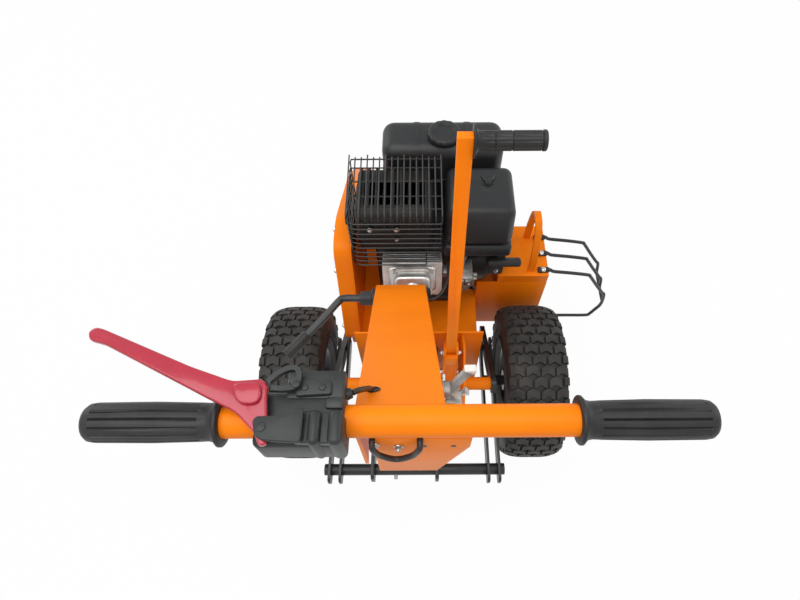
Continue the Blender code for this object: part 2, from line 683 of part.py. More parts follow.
def build_column():
    foot = BOX_REAR_Y - TOUCH_GAP
    ridge = [(BAR_Y + RIDGE_AHEAD_OF_BAR, BAR_Z - RIDGE_UNDER_BAR), (COLUMN_TOP_Y, COLUMN_TOP_Z),
             (COLUMN_TOP_Y + 0.030, COLUMN_TOP_Z - 0.028), (foot, COLUMN_TOP_Z - 0.068),
             (foot, 0.220)]
    column = skewed(plate("column", strip(ridge, COLUMN_SHEET), 0.0, COLUMN_HALF_WIDTH * 2 - 0.002))
    sides = []
    under = list(reversed(strip(ridge, 0.001)[len(ridge):]))
    under[0] = under[0].lerp(under[1], 0.01)
    under[-1] = under[-1] + Vector((0, 0.001))
    web_top = BAR_Z - WEB_UNDER_BAR
    web_foot = web_top - WEB_HEIGHT
    web = [(PANEL_FACE_Y, web_foot), (PANEL_FACE_Y, web_top), *under, (-0.030, 0.221),
           (-0.030, COLUMN_TOP_Z - 0.138), (-0.075, COLUMN_TOP_Z - 0.053),
           (PANEL_FACE_Y + WEB_DEPTH, web_foot)]
    for side in (-1, 1):
        middle = side * (COLUMN_HALF_WIDTH - COLUMN_SHEET / 2)
        sides.append(skewed(plate("side", web, middle, COLUMN_SHEET)))
    join(column, *sides)
    bar_hole = rod("bar_hole", (-0.2, BAR_Y, BAR_Z), (0.2, BAR_Y, BAR_Z), BAR_RADIUS + TOUCH_GAP)
    place(cut(column, bar_hole), STEEL_ORANGE)

    top = BAR_Z - PANEL_UNDER_BAR
    panel = plate("rear_panel", [
        (PANEL_LEFT_X, top - PANEL_HEIGHT), (PANEL_LOW_RIGHT_X, top - PANEL_HEIGHT),
        (PANEL_RIGHT_X, top - 0.030), (PANEL_RIGHT_X, top), (PANEL_LEFT_X, top)],
        PANEL_FACE_Y - TOUCH_GAP - PANEL_THICK / 2, PANEL_THICK, "Y")
    place(panel, STEEL_ORANGE)
    place(rod("handlebar", (-BAR_HALF_LENGTH, BAR_Y, BAR_Z), (BAR_HALF_LENGTH, BAR_Y, BAR_Z),
              BAR_RADIUS, 32), STEEL_ORANGE)

    length = GRIP_OUTER_X - GRIP_INNER_X
    bore = BAR_RADIUS + TOUCH_GAP
    blind = BAR_HALF_LENGTH + TOUCH_GAP - GRIP_INNER_X
    grip = [(0.0, length), (GRIP_RADIUS - 0.006, length), (GRIP_RADIUS - 0.001, length - 0.006),
            (GRIP_RADIUS, length - 0.014), (GRIP_RADIUS, length * 0.5),
            (GRIP_RADIUS - 0.0015, GRIP_FLANGE_WIDTH + 0.006),
            (GRIP_FLANGE_RADIUS, GRIP_FLANGE_WIDTH), (GRIP_FLANGE_RADIUS, 0.0), (bore, 0.0),
            (bore, blind), (0.0, blind)]
    place(turned("right_grip", grip, (GRIP_INNER_X, BAR_Y, BAR_Z), steps=20), SOFT_BLACK)
    place(turned_to_left("left_grip", grip, (-GRIP_INNER_X, BAR_Y, BAR_Z), 20), SOFT_BLACK)


def build_depth_lever():
    joint = joint_empty("depth_lever_axis", (0, ROCKSHAFT_Y, ROCKSHAFT_Z))
    lean = math.radians(LEVER_LEAN_DEG)
    shaft = rod("rockshaft", (-ROCKSHAFT_HALF_LENGTH, ROCKSHAFT_Y, ROCKSHAFT_Z),
                (ROCKSHAFT_HALF_LENGTH, ROCKSHAFT_Y, ROCKSHAFT_Z), ROCKSHAFT_RADIUS)
    drop = ROCKSHAFT_Z - ARM_Z
    reach = CROSS_PIN_Y - ROCKSHAFT_Y
    slope = math.atan2(-drop, reach)
    slot_half = CRANK_SLOT_HALF
    slot_end = CRANK_ARM_LENGTH - 0.009 - slot_half

    def along(points):
        return [(ROCKSHAFT_Y + a * math.cos(slope) - b * math.sin(slope),
                 ROCKSHAFT_Z + a * math.sin(slope) + b * math.cos(slope)) for a, b in points]

    wide = slot_half + 0.009
    body = rounded([(-0.022, -wide), (CRANK_ARM_LENGTH, -wide), (CRANK_ARM_LENGTH, wide),
                    (-0.022, wide)], 0.017, 4)
    slot = rounded([(CRANK_SLOT_START, -slot_half), (slot_end + slot_half, -slot_half),
                    (slot_end + slot_half, slot_half), (CRANK_SLOT_START, slot_half)], 0.008, 3)
    for side in (-1, 1):
        join(shaft, plate("crank_arm", along(body), side * CRANK_ARM_X, CRANK_ARM_THICK,
                          holes=[along(slot)]))
    place(shaft, STEEL_ORANGE, joint)

    turn = Matrix.Rotation(-lean, 3, "X")
    centre = Vector((LEVER_X, ROCKSHAFT_Y, ROCKSHAFT_Z))

    def leaning(name, low, high, bevel=0.0):
        piece = box(name, low, high, bevel)
        piece.data.transform(Matrix.Translation(centre) @ turn.to_4x4())
        return piece

    half = LEVER_THICK / 2
    bar = leaning("depth_lever", (-half, -LEVER_WIDTH / 2, ROCKSHAFT_RADIUS + 0.003),
                  (half, LEVER_WIDTH / 2, LEVER_LENGTH))
    hub = rod("lever_hub", (LEVER_X - half - 0.002, ROCKSHAFT_Y, ROCKSHAFT_Z),
              (LEVER_X + half + 0.002, ROCKSHAFT_Y, ROCKSHAFT_Z), ROCKSHAFT_RADIUS + 0.009, 32)
    tunnel = rod("lever_bore", (LEVER_X - 0.03, ROCKSHAFT_Y, ROCKSHAFT_Z),
                 (LEVER_X + 0.03, ROCKSHAFT_Y, ROCKSHAFT_Z), ROCKSHAFT_RADIUS + TOUCH_GAP)
    join(bar, hub)
    for side in (-1, 1):
        inner, outer = sorted((side * (half - 0.001), side * (half + 0.0045)))
        join(bar, leaning("ear", (inner, -LEVER_WIDTH / 2 - 0.006, 0.034),
                          (outer, LEVER_WIDTH / 2 - 0.001, 0.170)))
    cut(bar, tunnel)
    place(bar, STEEL_ORANGE, joint)

    tip = centre + turn @ Vector((half + TOUCH_GAP, 0, LEVER_LENGTH - LEVER_GRIP_DROP))
    radius = LEVER_GRIP_RADIUS
    grip = [(0.0, LEVER_GRIP_LENGTH + 0.02), (radius + 0.001, LEVER_GRIP_LENGTH + 0.02),
            (radius + 0.002, LEVER_GRIP_LENGTH + 0.014), (radius, LEVER_GRIP_LENGTH + 0.006),
            (radius, 0.014), (LEVER_GRIP_FLANGE, 0.009), (LEVER_GRIP_FLANGE, 0.0), (0.0, 0.0)]
    place(turned("lever_grip", grip, tip, steps=20), SOFT_BLACK, joint)

    foot = BOX_REAR_Y - TOUCH_GAP
    bore = circle(ROCKSHAFT_Y, ROCKSHAFT_Z, ROCKSHAFT_RADIUS + RUN_GAP, 20)
    quadrant = plate("lever_quadrant", rounded([
        (foot, 0.250), (foot, 0.396), (-0.020, 0.440), (-0.085, 0.405), (-0.125, 0.350),
        (-0.105, 0.310), (-0.070, 0.262)], 0.010, 3), LEVER_X + 0.030, 0.005, holes=[bore])
    place(quadrant, STEEL_ORANGE)


def build_engine():
    base = ENGINE_BASE_Z + TOUCH_GAP
    crank_z = ENGINE_BASE_Z + CRANK_HEIGHT
    case_top = base + CASE_HEIGHT
    case = box("crankcase", (CASE_LEFT_X, CASE_REAR_Y, base), (CASE_RIGHT_X, CASE_FRONT_Y, case_top),
               0.016, 2)
    foot = box("feet", (CASE_LEFT_X + 0.006, CASE_REAR_Y - 0.012, base),
               (CASE_RIGHT_X - 0.006, CASE_FRONT_Y + 0.004, base + 0.018), 0.003)
    boss = rod("boss", (CASE_LEFT_X - 0.008, CRANK_Y, crank_z), (CASE_LEFT_X + 0.03, CRANK_Y, crank_z),
               0.030, 32)
    bore = rod("shaft_bore", (CASE_LEFT_X - 0.02, CRANK_Y, crank_z),
               (CASE_LEFT_X + 0.030, CRANK_Y, crank_z), OUTPUT_SHAFT_RADIUS + TOUCH_GAP)
    shelf = box("tank_shelf", (-0.050, 0.330, case_top - 0.004),
                (0.105, 0.400, TANK_BOTTOM_Z - TOUCH_GAP), 0.003)
    join(case, foot, boss, shelf)
    cut(case, bore)
    place(case, CAST_GREY)

    shaft = Vector((0, CRANK_Y, crank_z))
    rise = Matrix.Rotation(-math.radians(CYLINDER_RISE_DEG), 4, "X")

    def tilted(item):
        item.data.transform(Matrix.Translation(shaft) @ rise)
        return item

    head = -CYLINDER_REACH
    cylinder = tilted(box("cylinder", (-0.060, head, -0.050), (0.056, -0.040, 0.020), 0.010, 2))
    for number in range(5):
        y = head + 0.008 + number * 0.0145
        join(cylinder, tilted(box("fin", (-0.070, y, -0.060), (0.066, y + 0.005, 0.029))))
    cut(cylinder, box("case_side", (-0.12, CASE_REAR_Y - TOUCH_GAP, 0.28), (0.12, CRANK_Y, 0.56)))
    place(cylinder, CAST_GREY)
    face = head - TOUCH_GAP
    place(tilted(box("valve_cover", (-0.050, face - 0.034, -0.050), (0.046, face, 0.021), 0.010, 3)),
          BRIGHT)
    plug = tilted(rod("spark_plug", (0.030, face - 0.034 - TOUCH_GAP, -0.020), (0.030, face - 0.058, -0.020),
                      0.009, 16))
    place(plug, MOULDED_BLACK)

    right = CASE_RIGHT_X + TOUCH_GAP
    recoil = [(0.0, RECOIL_DEPTH), (0.040, RECOIL_DEPTH), (0.046, RECOIL_DEPTH - 0.006),
              (RECOIL_RADIUS - 0.018, RECOIL_DEPTH - 0.012), (RECOIL_RADIUS - 0.004, RECOIL_DEPTH - 0.024),
              (RECOIL_RADIUS, RECOIL_DEPTH - 0.034), (RECOIL_RADIUS, 0.0), (0.0, 0.0)]
    housing = turned("recoil_housing", recoil, (right, CRANK_Y, crank_z))
    pull = Vector((0, -math.cos(math.radians(PULL_RISE_DEG)), math.sin(math.radians(PULL_RISE_DEG))))
    crank = Vector((PULL_X, CRANK_Y, crank_z))
    reach = RECOIL_RADIUS + 0.008
    guide = rod("rope_guide", crank + pull * (RECOIL_RADIUS - 0.034), crank + pull * reach, 0.010, 16)
    shroud = box("shroud", (CASE_RIGHT_X + 0.047, CASE_REAR_Y + 0.001, HOUSING_TOP_Z + 0.004),
                 (CASE_RIGHT_X + RECOIL_DEPTH + 0.018, CRANK_Y, CLEANER_BOTTOM_Z - 0.012), 0.008, 2)
    join(housing, guide, shroud)
    place(housing, MOULDED_BLACK)
    seat = crank + pull * (reach + TOUCH_GAP)
    grip_joint = joint_empty("recoil_pull_axis", seat)
    turn = Matrix.Rotation(-math.radians(PULL_RISE_DEG), 3, "X")
    grip = box("recoil_grip", (-PULL_GRIP_LEFT, -PULL_GRIP_DEPTH, -0.009), (PULL_GRIP_RIGHT, 0.0, 0.009),
               0.006, 2)
    grip.data.transform(Matrix.Translation(seat) @ turn.to_4x4())
    place(grip, SOFT_BLACK, grip_joint)

    tank = box("fuel_tank", (TANK_LEFT_X, TANK_REAR_Y, TANK_BOTTOM_Z),
               (TANK_RIGHT_X, TANK_FRONT_Y, TANK_TOP_Z), 0.026, 4)
    place(tank, MOULDED_BLACK)
    cap_y = (TANK_REAR_Y + TANK_FRONT_Y) / 2 - CAP_BEHIND_MIDDLE
    cap_joint = joint_empty("fuel_cap_axis", (CAP_X, cap_y, TANK_TOP_Z))
    cap = [(0.0, CAP_HEIGHT), (CAP_RADIUS - 0.005, CAP_HEIGHT), (CAP_RADIUS, CAP_HEIGHT - 0.005),
           (CAP_RADIUS, 0.004), (CAP_RADIUS - 0.004, 0.0), (0.0, 0.0)]
    place(turned("fuel_cap", cap, (CAP_X, cap_y, TANK_TOP_Z + TOUCH_GAP), "Z", 32), MOULDED_BLACK,
          cap_joint)

    muffler = box("muffler", (CAGE_LEFT_X + 0.012, CAGE_REAR_Y + 0.024, CAGE_BOTTOM_Z + 0.012),
                  (CAGE_RIGHT_X - 0.014, CAGE_FRONT_Y - 0.018, CAGE_TOP_Z - 0.024), 0.020, 3)
    join(muffler, rod("exhaust_pipe", (-0.030, 0.222, case_top + TOUCH_GAP),
                      (-0.030, 0.222, CAGE_BOTTOM_Z + 0.03), 0.014, 20))
    place(muffler, MOULDED_BLACK)
    build_cage()

    place(box("air_cleaner_base", (CLEANER_LEFT_X, CLEANER_REAR_Y, CLEANER_BOTTOM_Z),
              (CLEANER_RIGHT_X, CLEANER_FRONT_Y, CLEANER_SPLIT_Z - TOUCH_GAP), 0.006, 2),
          MOULDED_BLACK)
    place(box("air_cleaner_cover", (CLEANER_LEFT_X, CLEANER_REAR_Y, CLEANER_SPLIT_Z),
              (CLEANER_RIGHT_X, CLEANER_FRONT_Y, CLEANER_TOP_Z), 0.018, 3), MOULDED_BLACK)
    knob_x = CLEANER_RIGHT_X - 0.058
    knob_y = CLEANER_REAR_Y + 0.082
    knob_joint = joint_empty("wing_nut_axis", (knob_x, knob_y, CLEANER_TOP_Z))
    knob_z = CLEANER_TOP_Z + TOUCH_GAP
    nut = rod("air_cleaner_wing_nut", (knob_x, knob_y, knob_z), (knob_x, knob_y, knob_z + 0.009),
              0.012, 24)
    join(nut, box("wings", (knob_x - 0.019, knob_y - 0.003, knob_z + 0.002),
                  (knob_x + 0.019, knob_y + 0.003, knob_z + 0.013), 0.002))
    place(nut, MOULDED_BLACK, knob_joint)

    carb_top = CLEANER_BOTTOM_Z - TOUCH_GAP
    carb = box("carburettor", (0.084, 0.130, 0.425), (0.112, 0.190, carb_top - 0.02), 0.004)
    join(carb, rod("throat", (0.098, 0.178, 0.45), (0.098, 0.178, carb_top), 0.014, 24),
         rod("bowl", (0.098, 0.150, 0.408), (0.098, 0.150, 0.43), 0.013, 24),
         box("intake", (0.060, 0.150, 0.440), (0.090, 0.175, 0.462)))
    cut(carb, box("cylinder_side", (0.0, 0.10, 0.35), (0.066 + TOUCH_GAP, 0.24, 0.52)))
    place(carb, BRIGHT)
    choke_joint = joint_empty("choke_axis", (0.1125, 0.160, 0.462))
    choke = rod("choke_lever", (0.1123, 0.160, 0.462), (0.117, 0.160, 0.462), 0.006, 16)
    join(choke, box("choke_arm", (0.1135, 0.120, 0.459), (0.1165, 0.161, 0.466)))
    place(choke, MOULDED_BLACK, choke_joint)


def build_cage():
    """The wire cage over the muffler: a bent sheet of wires, open toward the engine."""
    shape = bmesh.new()
    columns = 10
    fall = [(CAGE_FRONT_Y, CAGE_TOP_Z), (CAGE_FRONT_Y - 0.075, CAGE_TOP_Z),
            (CAGE_REAR_Y + 0.010, CAGE_TOP_Z)]
    fall += [(CAGE_REAR_Y, CAGE_TOP_Z - 0.012 - 0.039 * step) for step in range(5)]
    pitch = (CAGE_RIGHT_X - CAGE_LEFT_X) / (columns - 1)
    rows = [[shape.verts.new((CAGE_LEFT_X + pitch * i, y, z)) for i in range(columns)]
            for y, z in fall]
    for upper, lower in zip(rows, rows[1:]):
        for i in range(columns - 1):
            shape.faces.new((upper[i], upper[i + 1], lower[i + 1], lower[i]))
    cage = mesh_object("muffler_cage", shape)
    grid = cage.modifiers.new("wires", "WIREFRAME")
    grid.thickness = CAGE_WIRE
    grid.use_boundary = True
    grid.use_replace = True
    grid.use_even_offset = False
    grid.offset = 0.0
    place(cage, STEEL_BLACK)


def build_drive():
    crank_z = ENGINE_BASE_Z + CRANK_HEIGHT
    crank_joint = joint_empty("crank_axis", (PULLEY_X, CRANK_Y, crank_z))
    half = PULLEY_WIDTH / 2

    def pulley(name, radius, bore, y, z, joint):
        ring = [(bore + TOUCH_GAP, half), (radius, half), (radius, half - 0.005), (radius - 0.014, 0.0),
                (radius, -half + 0.005), (radius, -half), (bore + TOUCH_GAP, -half)]
        place(turned(name, ring, (PULLEY_X, y, z), steps=28), CAST_GREY, joint)

    bottom = CRANK_PULLEY_RADIUS - 0.014
    drum = [(0.0, half), (CRANK_PULLEY_RADIUS, half), (CRANK_PULLEY_RADIUS, half - 0.005), (bottom, 0.0),
            (CRANK_PULLEY_RADIUS, -half + 0.005), (CRANK_PULLEY_RADIUS, -half), (0.0, -half)]
    output = turned("engine_pulley", drum, (PULLEY_X, CRANK_Y, crank_z), steps=28)
    join(output, rod("output_shaft", (PULLEY_X - half - 0.004, CRANK_Y, crank_z),
                     (CASE_LEFT_X + 0.028, CRANK_Y, crank_z), OUTPUT_SHAFT_RADIUS))
    place(output, BRIGHT, crank_joint)

    head_joint = joint_empty("head_shaft_axis", (0, HEAD_SHAFT_Y, HEAD_SHAFT_Z))
    pulley("driven_pulley", DRIVEN_PULLEY_RADIUS, HEAD_SHAFT_RADIUS, HEAD_SHAFT_Y, HEAD_SHAFT_Z,
           head_joint)
    shaft_end = BOX_RIGHT_X + 0.030
    place(rod("head_shaft", (PULLEY_X - half - 0.004, HEAD_SHAFT_Y, HEAD_SHAFT_Z),
              (shaft_end, HEAD_SHAFT_Y, HEAD_SHAFT_Z), HEAD_SHAFT_RADIUS), BRIGHT, head_joint)
    bearing = [(HEAD_SHAFT_RADIUS + TOUCH_GAP, 0.022), (0.030, 0.022), (0.034, 0.008), (0.046, 0.006),
               (0.046, 0.0), (HEAD_SHAFT_RADIUS + TOUCH_GAP, 0.0)]
    left = BOX_LEFT_X + SHEET + TOUCH_GAP
    place(turned("left_bearing", bearing, (left, HEAD_SHAFT_Y, HEAD_SHAFT_Z), steps=20), CAST_GREY)
    right = BOX_RIGHT_X - SHEET - TOUCH_GAP
    place(turned_to_left("right_bearing", bearing, (right, HEAD_SHAFT_Y, HEAD_SHAFT_Z), 20), CAST_GREY)

    def wheel(name, radius, teeth, y, z, bore, joint, look):
        outline = []
        for tooth in range(teeth):
            for share, size in ((0.0, radius), (0.3, radius), (0.45, radius - 0.007),
                                (0.85, radius - 0.007)):
                angle = 2 * math.pi * (tooth + share) / teeth
                outline.append((y + size * math.cos(angle), z + size * math.sin(angle)))
        gear = plate(name, outline, BOOM_X, 0.012)
        hub = rod("hub", (BOOM_X - 0.018, y, z), (BOOM_X + 0.018, y, z), bore + 0.010)
        hole = rod("hole", (BOOM_X - 0.03, y, z), (BOOM_X + 0.03, y, z), bore + TOUCH_GAP)
        join(gear, hub)
        place(cut(gear, hole), look, joint)

    wheel("head_sprocket", HEAD_SPROCKET_RADIUS - RUN_GAP, 8, HEAD_SHAFT_Y, HEAD_SHAFT_Z,
          HEAD_SHAFT_RADIUS, head_joint, CAST_GREY)
    nose_joint = joint_empty("nose_wheel_axis", (BOOM_X, NOSE_Y, NOSE_Z))
    wheel("nose_wheel", NOSE_WHEEL_RADIUS - RUN_GAP, 7, NOSE_Y, NOSE_Z, 0.008, nose_joint, CAST_GREY)
    build_belt(crank_z)
    build_boom()


def loop_outline(first, first_radius, second, second_radius, steps=14):
    """Outline of a band round two wheels; each wheel is a (y, z) centre and a radius."""
    first = Vector(first)
    second = Vector(second)
    line = second - first
    heading = math.atan2(line.y, line.x)
    lean = math.acos((first_radius - second_radius) / line.length)
    outline = []
    for centre, radius, start, stop in (
            (first, first_radius, heading + lean, heading + 2 * math.pi - lean),
            (second, second_radius, heading - lean, heading + lean)):
        for step in range(steps + 1):
            angle = start + (stop - start) * step / steps
            outline.append(centre + radius * Vector((math.cos(angle), math.sin(angle))))
    return outline


def build_belt(crank_z):
    crank = (CRANK_Y, crank_z)
    head = (HEAD_SHAFT_Y, HEAD_SHAFT_Z)
    outer = loop_outline(crank, CRANK_PULLEY_RADIUS + 0.004, head, DRIVEN_PULLEY_RADIUS + 0.004)
    inner = loop_outline(crank, CRANK_PULLEY_RADIUS + 0.001, head, DRIVEN_PULLEY_RADIUS + 0.001)
    place(plate("drive_belt", outer, PULLEY_X, PULLEY_WIDTH - 0.006, holes=[inner]), SOFT_BLACK)


def build_boom():
    head = Vector((HEAD_SHAFT_Y, HEAD_SHAFT_Z))
    nose = Vector((NOSE_Y, NOSE_Z))
    heading = (nose - head).normalized()
    side = Vector((-heading.y, heading.x))
    start = head + heading * (BOOM_REAR_Y - HEAD_SHAFT_Y)
    fork = nose - heading * (NOSE_WHEEL_RADIUS + 0.002)
    taper = (HEAD_SPROCKET_RADIUS - NOSE_WHEEL_RADIUS) / (nose - head).length
    start_half = HEAD_SPROCKET_RADIUS + TOUCH_GAP - (start - head).length * taper
    fork_half = HEAD_SPROCKET_RADIUS + TOUCH_GAP - (fork - head).length * taper
    beam = plate("boom", [start - side * start_half, fork - side * fork_half,
                          fork + side * fork_half, start + side * start_half], BOOM_X, BOOM_THICK)
    for turn in (-1, 1):
        x = BOOM_X + turn * (0.0225 + 0.0025)
        cheek = plate("cheek", rounded([
            fork - heading * 0.06 - side * 0.022, nose + heading * 0.018 - side * 0.018,
            nose + heading * 0.018 + side * 0.018, fork - heading * 0.06 + side * 0.022],
            0.012, 3), x, 0.005)
        spacer = plate("spacer", [
            fork - heading * 0.055 - side * 0.018, fork - heading * 0.010 - side * 0.018,
            fork - heading * 0.010 + side * 0.018, fork - heading * 0.055 + side * 0.018],
            BOOM_X + turn * 0.016, 0.020)
        join(beam, spacer, cheek)
    join(beam, rod("axle", (BOOM_X - 0.026, *nose), (BOOM_X + 0.026, *nose), 0.008, 24))

    centre = start + heading * 0.045
    inner_x = BOOM_X + BOOM_THICK / 2 - 0.001
    bracket = box("boom_bracket", (-(BOX_RIGHT_X - SHEET - TOUCH_GAP - inner_x) / 2, -0.030, -0.022),
                  ((BOX_RIGHT_X - SHEET - TOUCH_GAP - inner_x) / 2, 0.030, 0.022), 0.003)
    tilt = Matrix.Rotation(math.atan2(heading.y, heading.x), 4, "X")
    middle = (inner_x + BOX_RIGHT_X - SHEET - TOUCH_GAP) / 2
    bracket.data.transform(Matrix.Translation((middle, centre.x, centre.y)) @ tilt)
    join(beam, bracket)
    place(beam, STEEL_ORANGE)

    gap = TOUCH_GAP * 2
    inner = loop_outline(head, HEAD_SPROCKET_RADIUS + gap, nose, NOSE_WHEEL_RADIUS + gap)
    outer = loop_outline(head, HEAD_SPROCKET_RADIUS + CHAIN_THICK, nose,
                         NOSE_WHEEL_RADIUS + CHAIN_THICK)
    chain = plate("digging_chain", outer, BOOM_X, CHAIN_WIDTH, holes=[inner])
    teeth = bmesh.new()
    run = loop_outline(head, HEAD_SPROCKET_RADIUS + CHAIN_THICK * 0.5, nose,
                       NOSE_WHEEL_RADIUS + CHAIN_THICK * 0.5, 60)
    lengths = [(b - a).length for a, b in zip(run, run[1:] + run[:1])]
    pitch = sum(lengths) / TOOTH_COUNT
    travelled = 0.0
    number = 0
    for a, b, length in zip(run, run[1:] + run[:1], lengths):
        while number * pitch < travelled + length and number < TOOTH_COUNT:
            spot = a + (b - a) * ((number * pitch - travelled) / length)
            along = (b - a).normalized()
            outward = Vector((along.y, -along.x))
            add_tooth(teeth, spot, along, outward, number)
            number += 1
        travelled += length
    join(chain, mesh_object("teeth", teeth))
    place(chain, CAST_GREY)


def add_tooth(shape, spot, along, outward, number):
    """A cutting cup: a block across the chain that leans to alternate sides."""
    made = bmesh.ops.create_cube(shape, size=1.0)["verts"]
    shift = (-0.012, 0.0, 0.012, 0.0)[number % 4]
    height = CHAIN_THICK * 0.5 + TOOTH_HEIGHT
    bmesh.ops.scale(shape, vec=(0.030, 0.007, height), verts=made)
    bmesh.ops.translate(shape, vec=(0, 0, height / 2), verts=made)
    turn = Matrix(((1, 0, 0), (0, along.x, outward.x), (0, along.y, outward.y)))
    bmesh.ops.rotate(shape, cent=(0, 0, 0), matrix=turn, verts=made)
    bmesh.ops.translate(shape, vec=(BOOM_X + shift, *spot), verts=made)


def build_controls():
    low = CLUTCH_LEVER_Z - TOUCH_GAP
    left = CLUTCH_CASTING_LEFT_X
    right = CLUTCH_CASTING_RIGHT_X
    clamp = box("clutch_bracket", (left, BAR_Y - CLUTCH_CASTING_REACH, BAR_Z - 0.024), (right, BAR_Y + 0.024, low),
                0.005, 2)
    shelf = box("shelf", (left + 0.028, BAR_Y + 0.015, BAR_Z + 0.004),
                (right, BAR_Y + 0.044, low - 0.001), 0.002)
    hole = rod("bar_hole", (left - 0.02, BAR_Y, BAR_Z), (right + 0.02, BAR_Y, BAR_Z),
               BAR_RADIUS + TOUCH_GAP, 32)
    join(clamp, shelf)
    for x in (left + 0.042, left + 0.063):
        join(clamp, rod("boss", (x, BAR_Y - 0.016, low - 0.010), (x, BAR_Y - 0.016, low + 0.006),
                        0.0075, 20))
    cut(clamp, hole)
    place(clamp, MOULDED_BLACK)

    pivot = (*CLUTCH_PIVOT, CLUTCH_LEVER_Z)
    lever_joint = joint_empty("clutch_lever_axis", pivot)
    outline = [(-0.185, 0.087), (-0.177, 0.101), (-0.036, 0.043), (-0.028, 0.046), (-0.003, 0.044),
               (0.006, 0.034), (0.008, -0.020), (-0.002, -0.022), (-0.018, -0.006),
               (-0.060, 0.028)]
    outline = rounded([(pivot[0] + x, pivot[1] + y) for x, y in outline], 0.010, 3)
    middle = CLUTCH_LEVER_Z + CLUTCH_LEVER_HEIGHT / 2
    place(plate("clutch_lever", outline, middle, CLUTCH_LEVER_HEIGHT, "Z"), GLOSS_RED, lever_joint)

    trigger_pivot = (pivot[0] + 0.030, pivot[1] + 0.036, CLUTCH_LEVER_Z)
    trigger_joint = joint_empty("lock_trigger_axis", trigger_pivot)
    hook = [(-0.018, 0.022), (-0.012, 0.028), (0.004, 0.014), (0.011, 0.002), (0.006, -0.010),
            (-0.006, -0.010), (-0.006, 0.006)]
    hook = rounded([(trigger_pivot[0] + x, trigger_pivot[1] + y) for x, y in hook], 0.005, 3)
    trigger = plate("lock_trigger", hook, CLUTCH_LEVER_Z + 0.004, 0.008, "Z")
    place(trigger, MOULDED_BLACK, trigger_joint)

    x = COLUMN_HALF_WIDTH + skew_at(THROTTLE_Y - 0.013) + TOUCH_GAP
    throttle_joint = joint_empty("throttle_axis", (x, THROTTLE_Y, THROTTLE_Z))
    throttle = rod("throttle_lever", (x, THROTTLE_Y, THROTTLE_Z), (x + 0.010, THROTTLE_Y, THROTTLE_Z),
                   0.013, 24)
    arm = box("arm", (x + 0.003, -0.004, 0.0), (x + 0.008, 0.004, THROTTLE_ARM), 0.0)
    arm.data.transform(Matrix.Translation((0, THROTTLE_Y, THROTTLE_Z))
                       @ Matrix.Rotation(math.radians(-40), 4, "X"))
    knob = rod("knob", (x + 0.002, 0, THROTTLE_ARM - 0.004), (x + 0.018, 0, THROTTLE_ARM - 0.004),
               0.007, 20)
    knob.data.transform(Matrix.Translation((0, THROTTLE_Y, THROTTLE_Z))
                        @ Matrix.Rotation(math.radians(-40), 4, "X"))
    join(throttle, arm, knob)
    place(throttle, BRIGHT, throttle_joint)

    y = REST_LEVER_Y
    side = -COLUMN_HALF_WIDTH + skew_at(y + 0.013) - TOUCH_GAP
    z = REST_LEVER_Z
    rest_joint = joint_empty("hand_rod_axis", (side, y, z))
    bore = 0.007 + TOUCH_GAP
    socket = [(bore, 0.028), (0.018, 0.028), (0.018, 0.022), (0.013, 0.020), (0.013, 0.0),
              (bore, 0.0)]
    place(turned("rod_socket", socket, (side - 0.028, y, z), steps=20), STEEL_BLACK)
    place(wire("hand_rod", [
        (side - 0.002, y, z), (side - 0.030, y, z), (side - 0.058, y, z),
        (side - 0.068, y - 0.006, z - 0.001),
        (side - 0.092, y - 0.034, z - 0.008), (side - 0.122, y - 0.066, z - 0.016)],
        0.007, steps=3), STEEL_BLACK, rest_joint)
    start = Vector((side - 0.122, y - 0.066, z - 0.016))
    heading = Vector((-0.030, -0.032, -0.008)).normalized()
    place(rod("rod_grip", start + heading * TOUCH_GAP, start + heading * 0.052, 0.0105, 20),
          SOFT_BLACK, rest_joint)

    place(wire("clutch_cable", [
        (right + TOUCH_GAP, BAR_Y + 0.032, BAR_Z + 0.014), (right + 0.007, BAR_Y + 0.032, BAR_Z + 0.014),
        (right + 0.016, BAR_Y + 0.037, BAR_Z + 0.012), (right + 0.023, BAR_Y + 0.044, BAR_Z + 0.002),
        (right + 0.026, BAR_Y + 0.048, BAR_Z - 0.0195)], CABLE_RADIUS, steps=3), SOFT_BLACK)
    panel_face = PANEL_FACE_Y - TOUCH_GAP * 2 - PANEL_THICK
    loop_z = BAR_Z - CABLE_UNDER_BAR
    loop = [(-0.0265, 0.0, 0.0), (-0.0265, 0.004, 0.0), (-0.026, CABLE_LOOP_OUT - 0.002, -0.004),
            (-0.020, CABLE_LOOP_OUT, -0.026), (-0.004, CABLE_LOOP_OUT, -0.052),
            (0.012, CABLE_LOOP_OUT, -0.028), (0.0195, CABLE_LOOP_OUT - 0.002, -0.004),
            (0.020, 0.004, 0.0), (0.020, 0.0, 0.0)]
    place(wire("throttle_cable", [(x, panel_face - out, loop_z + up) for x, out, up in loop],
               CABLE_RADIUS, steps=3), SOFT_BLACK)


build_wheels()
build_wheel_arms()
build_chassis()
build_right_housing()
build_belt_guard()
build_column()
build_depth_lever()
build_engine()
build_drive()
build_controls()
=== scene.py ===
import json
import math

import bmesh
import bpy
from mathutils import Matrix, Vector

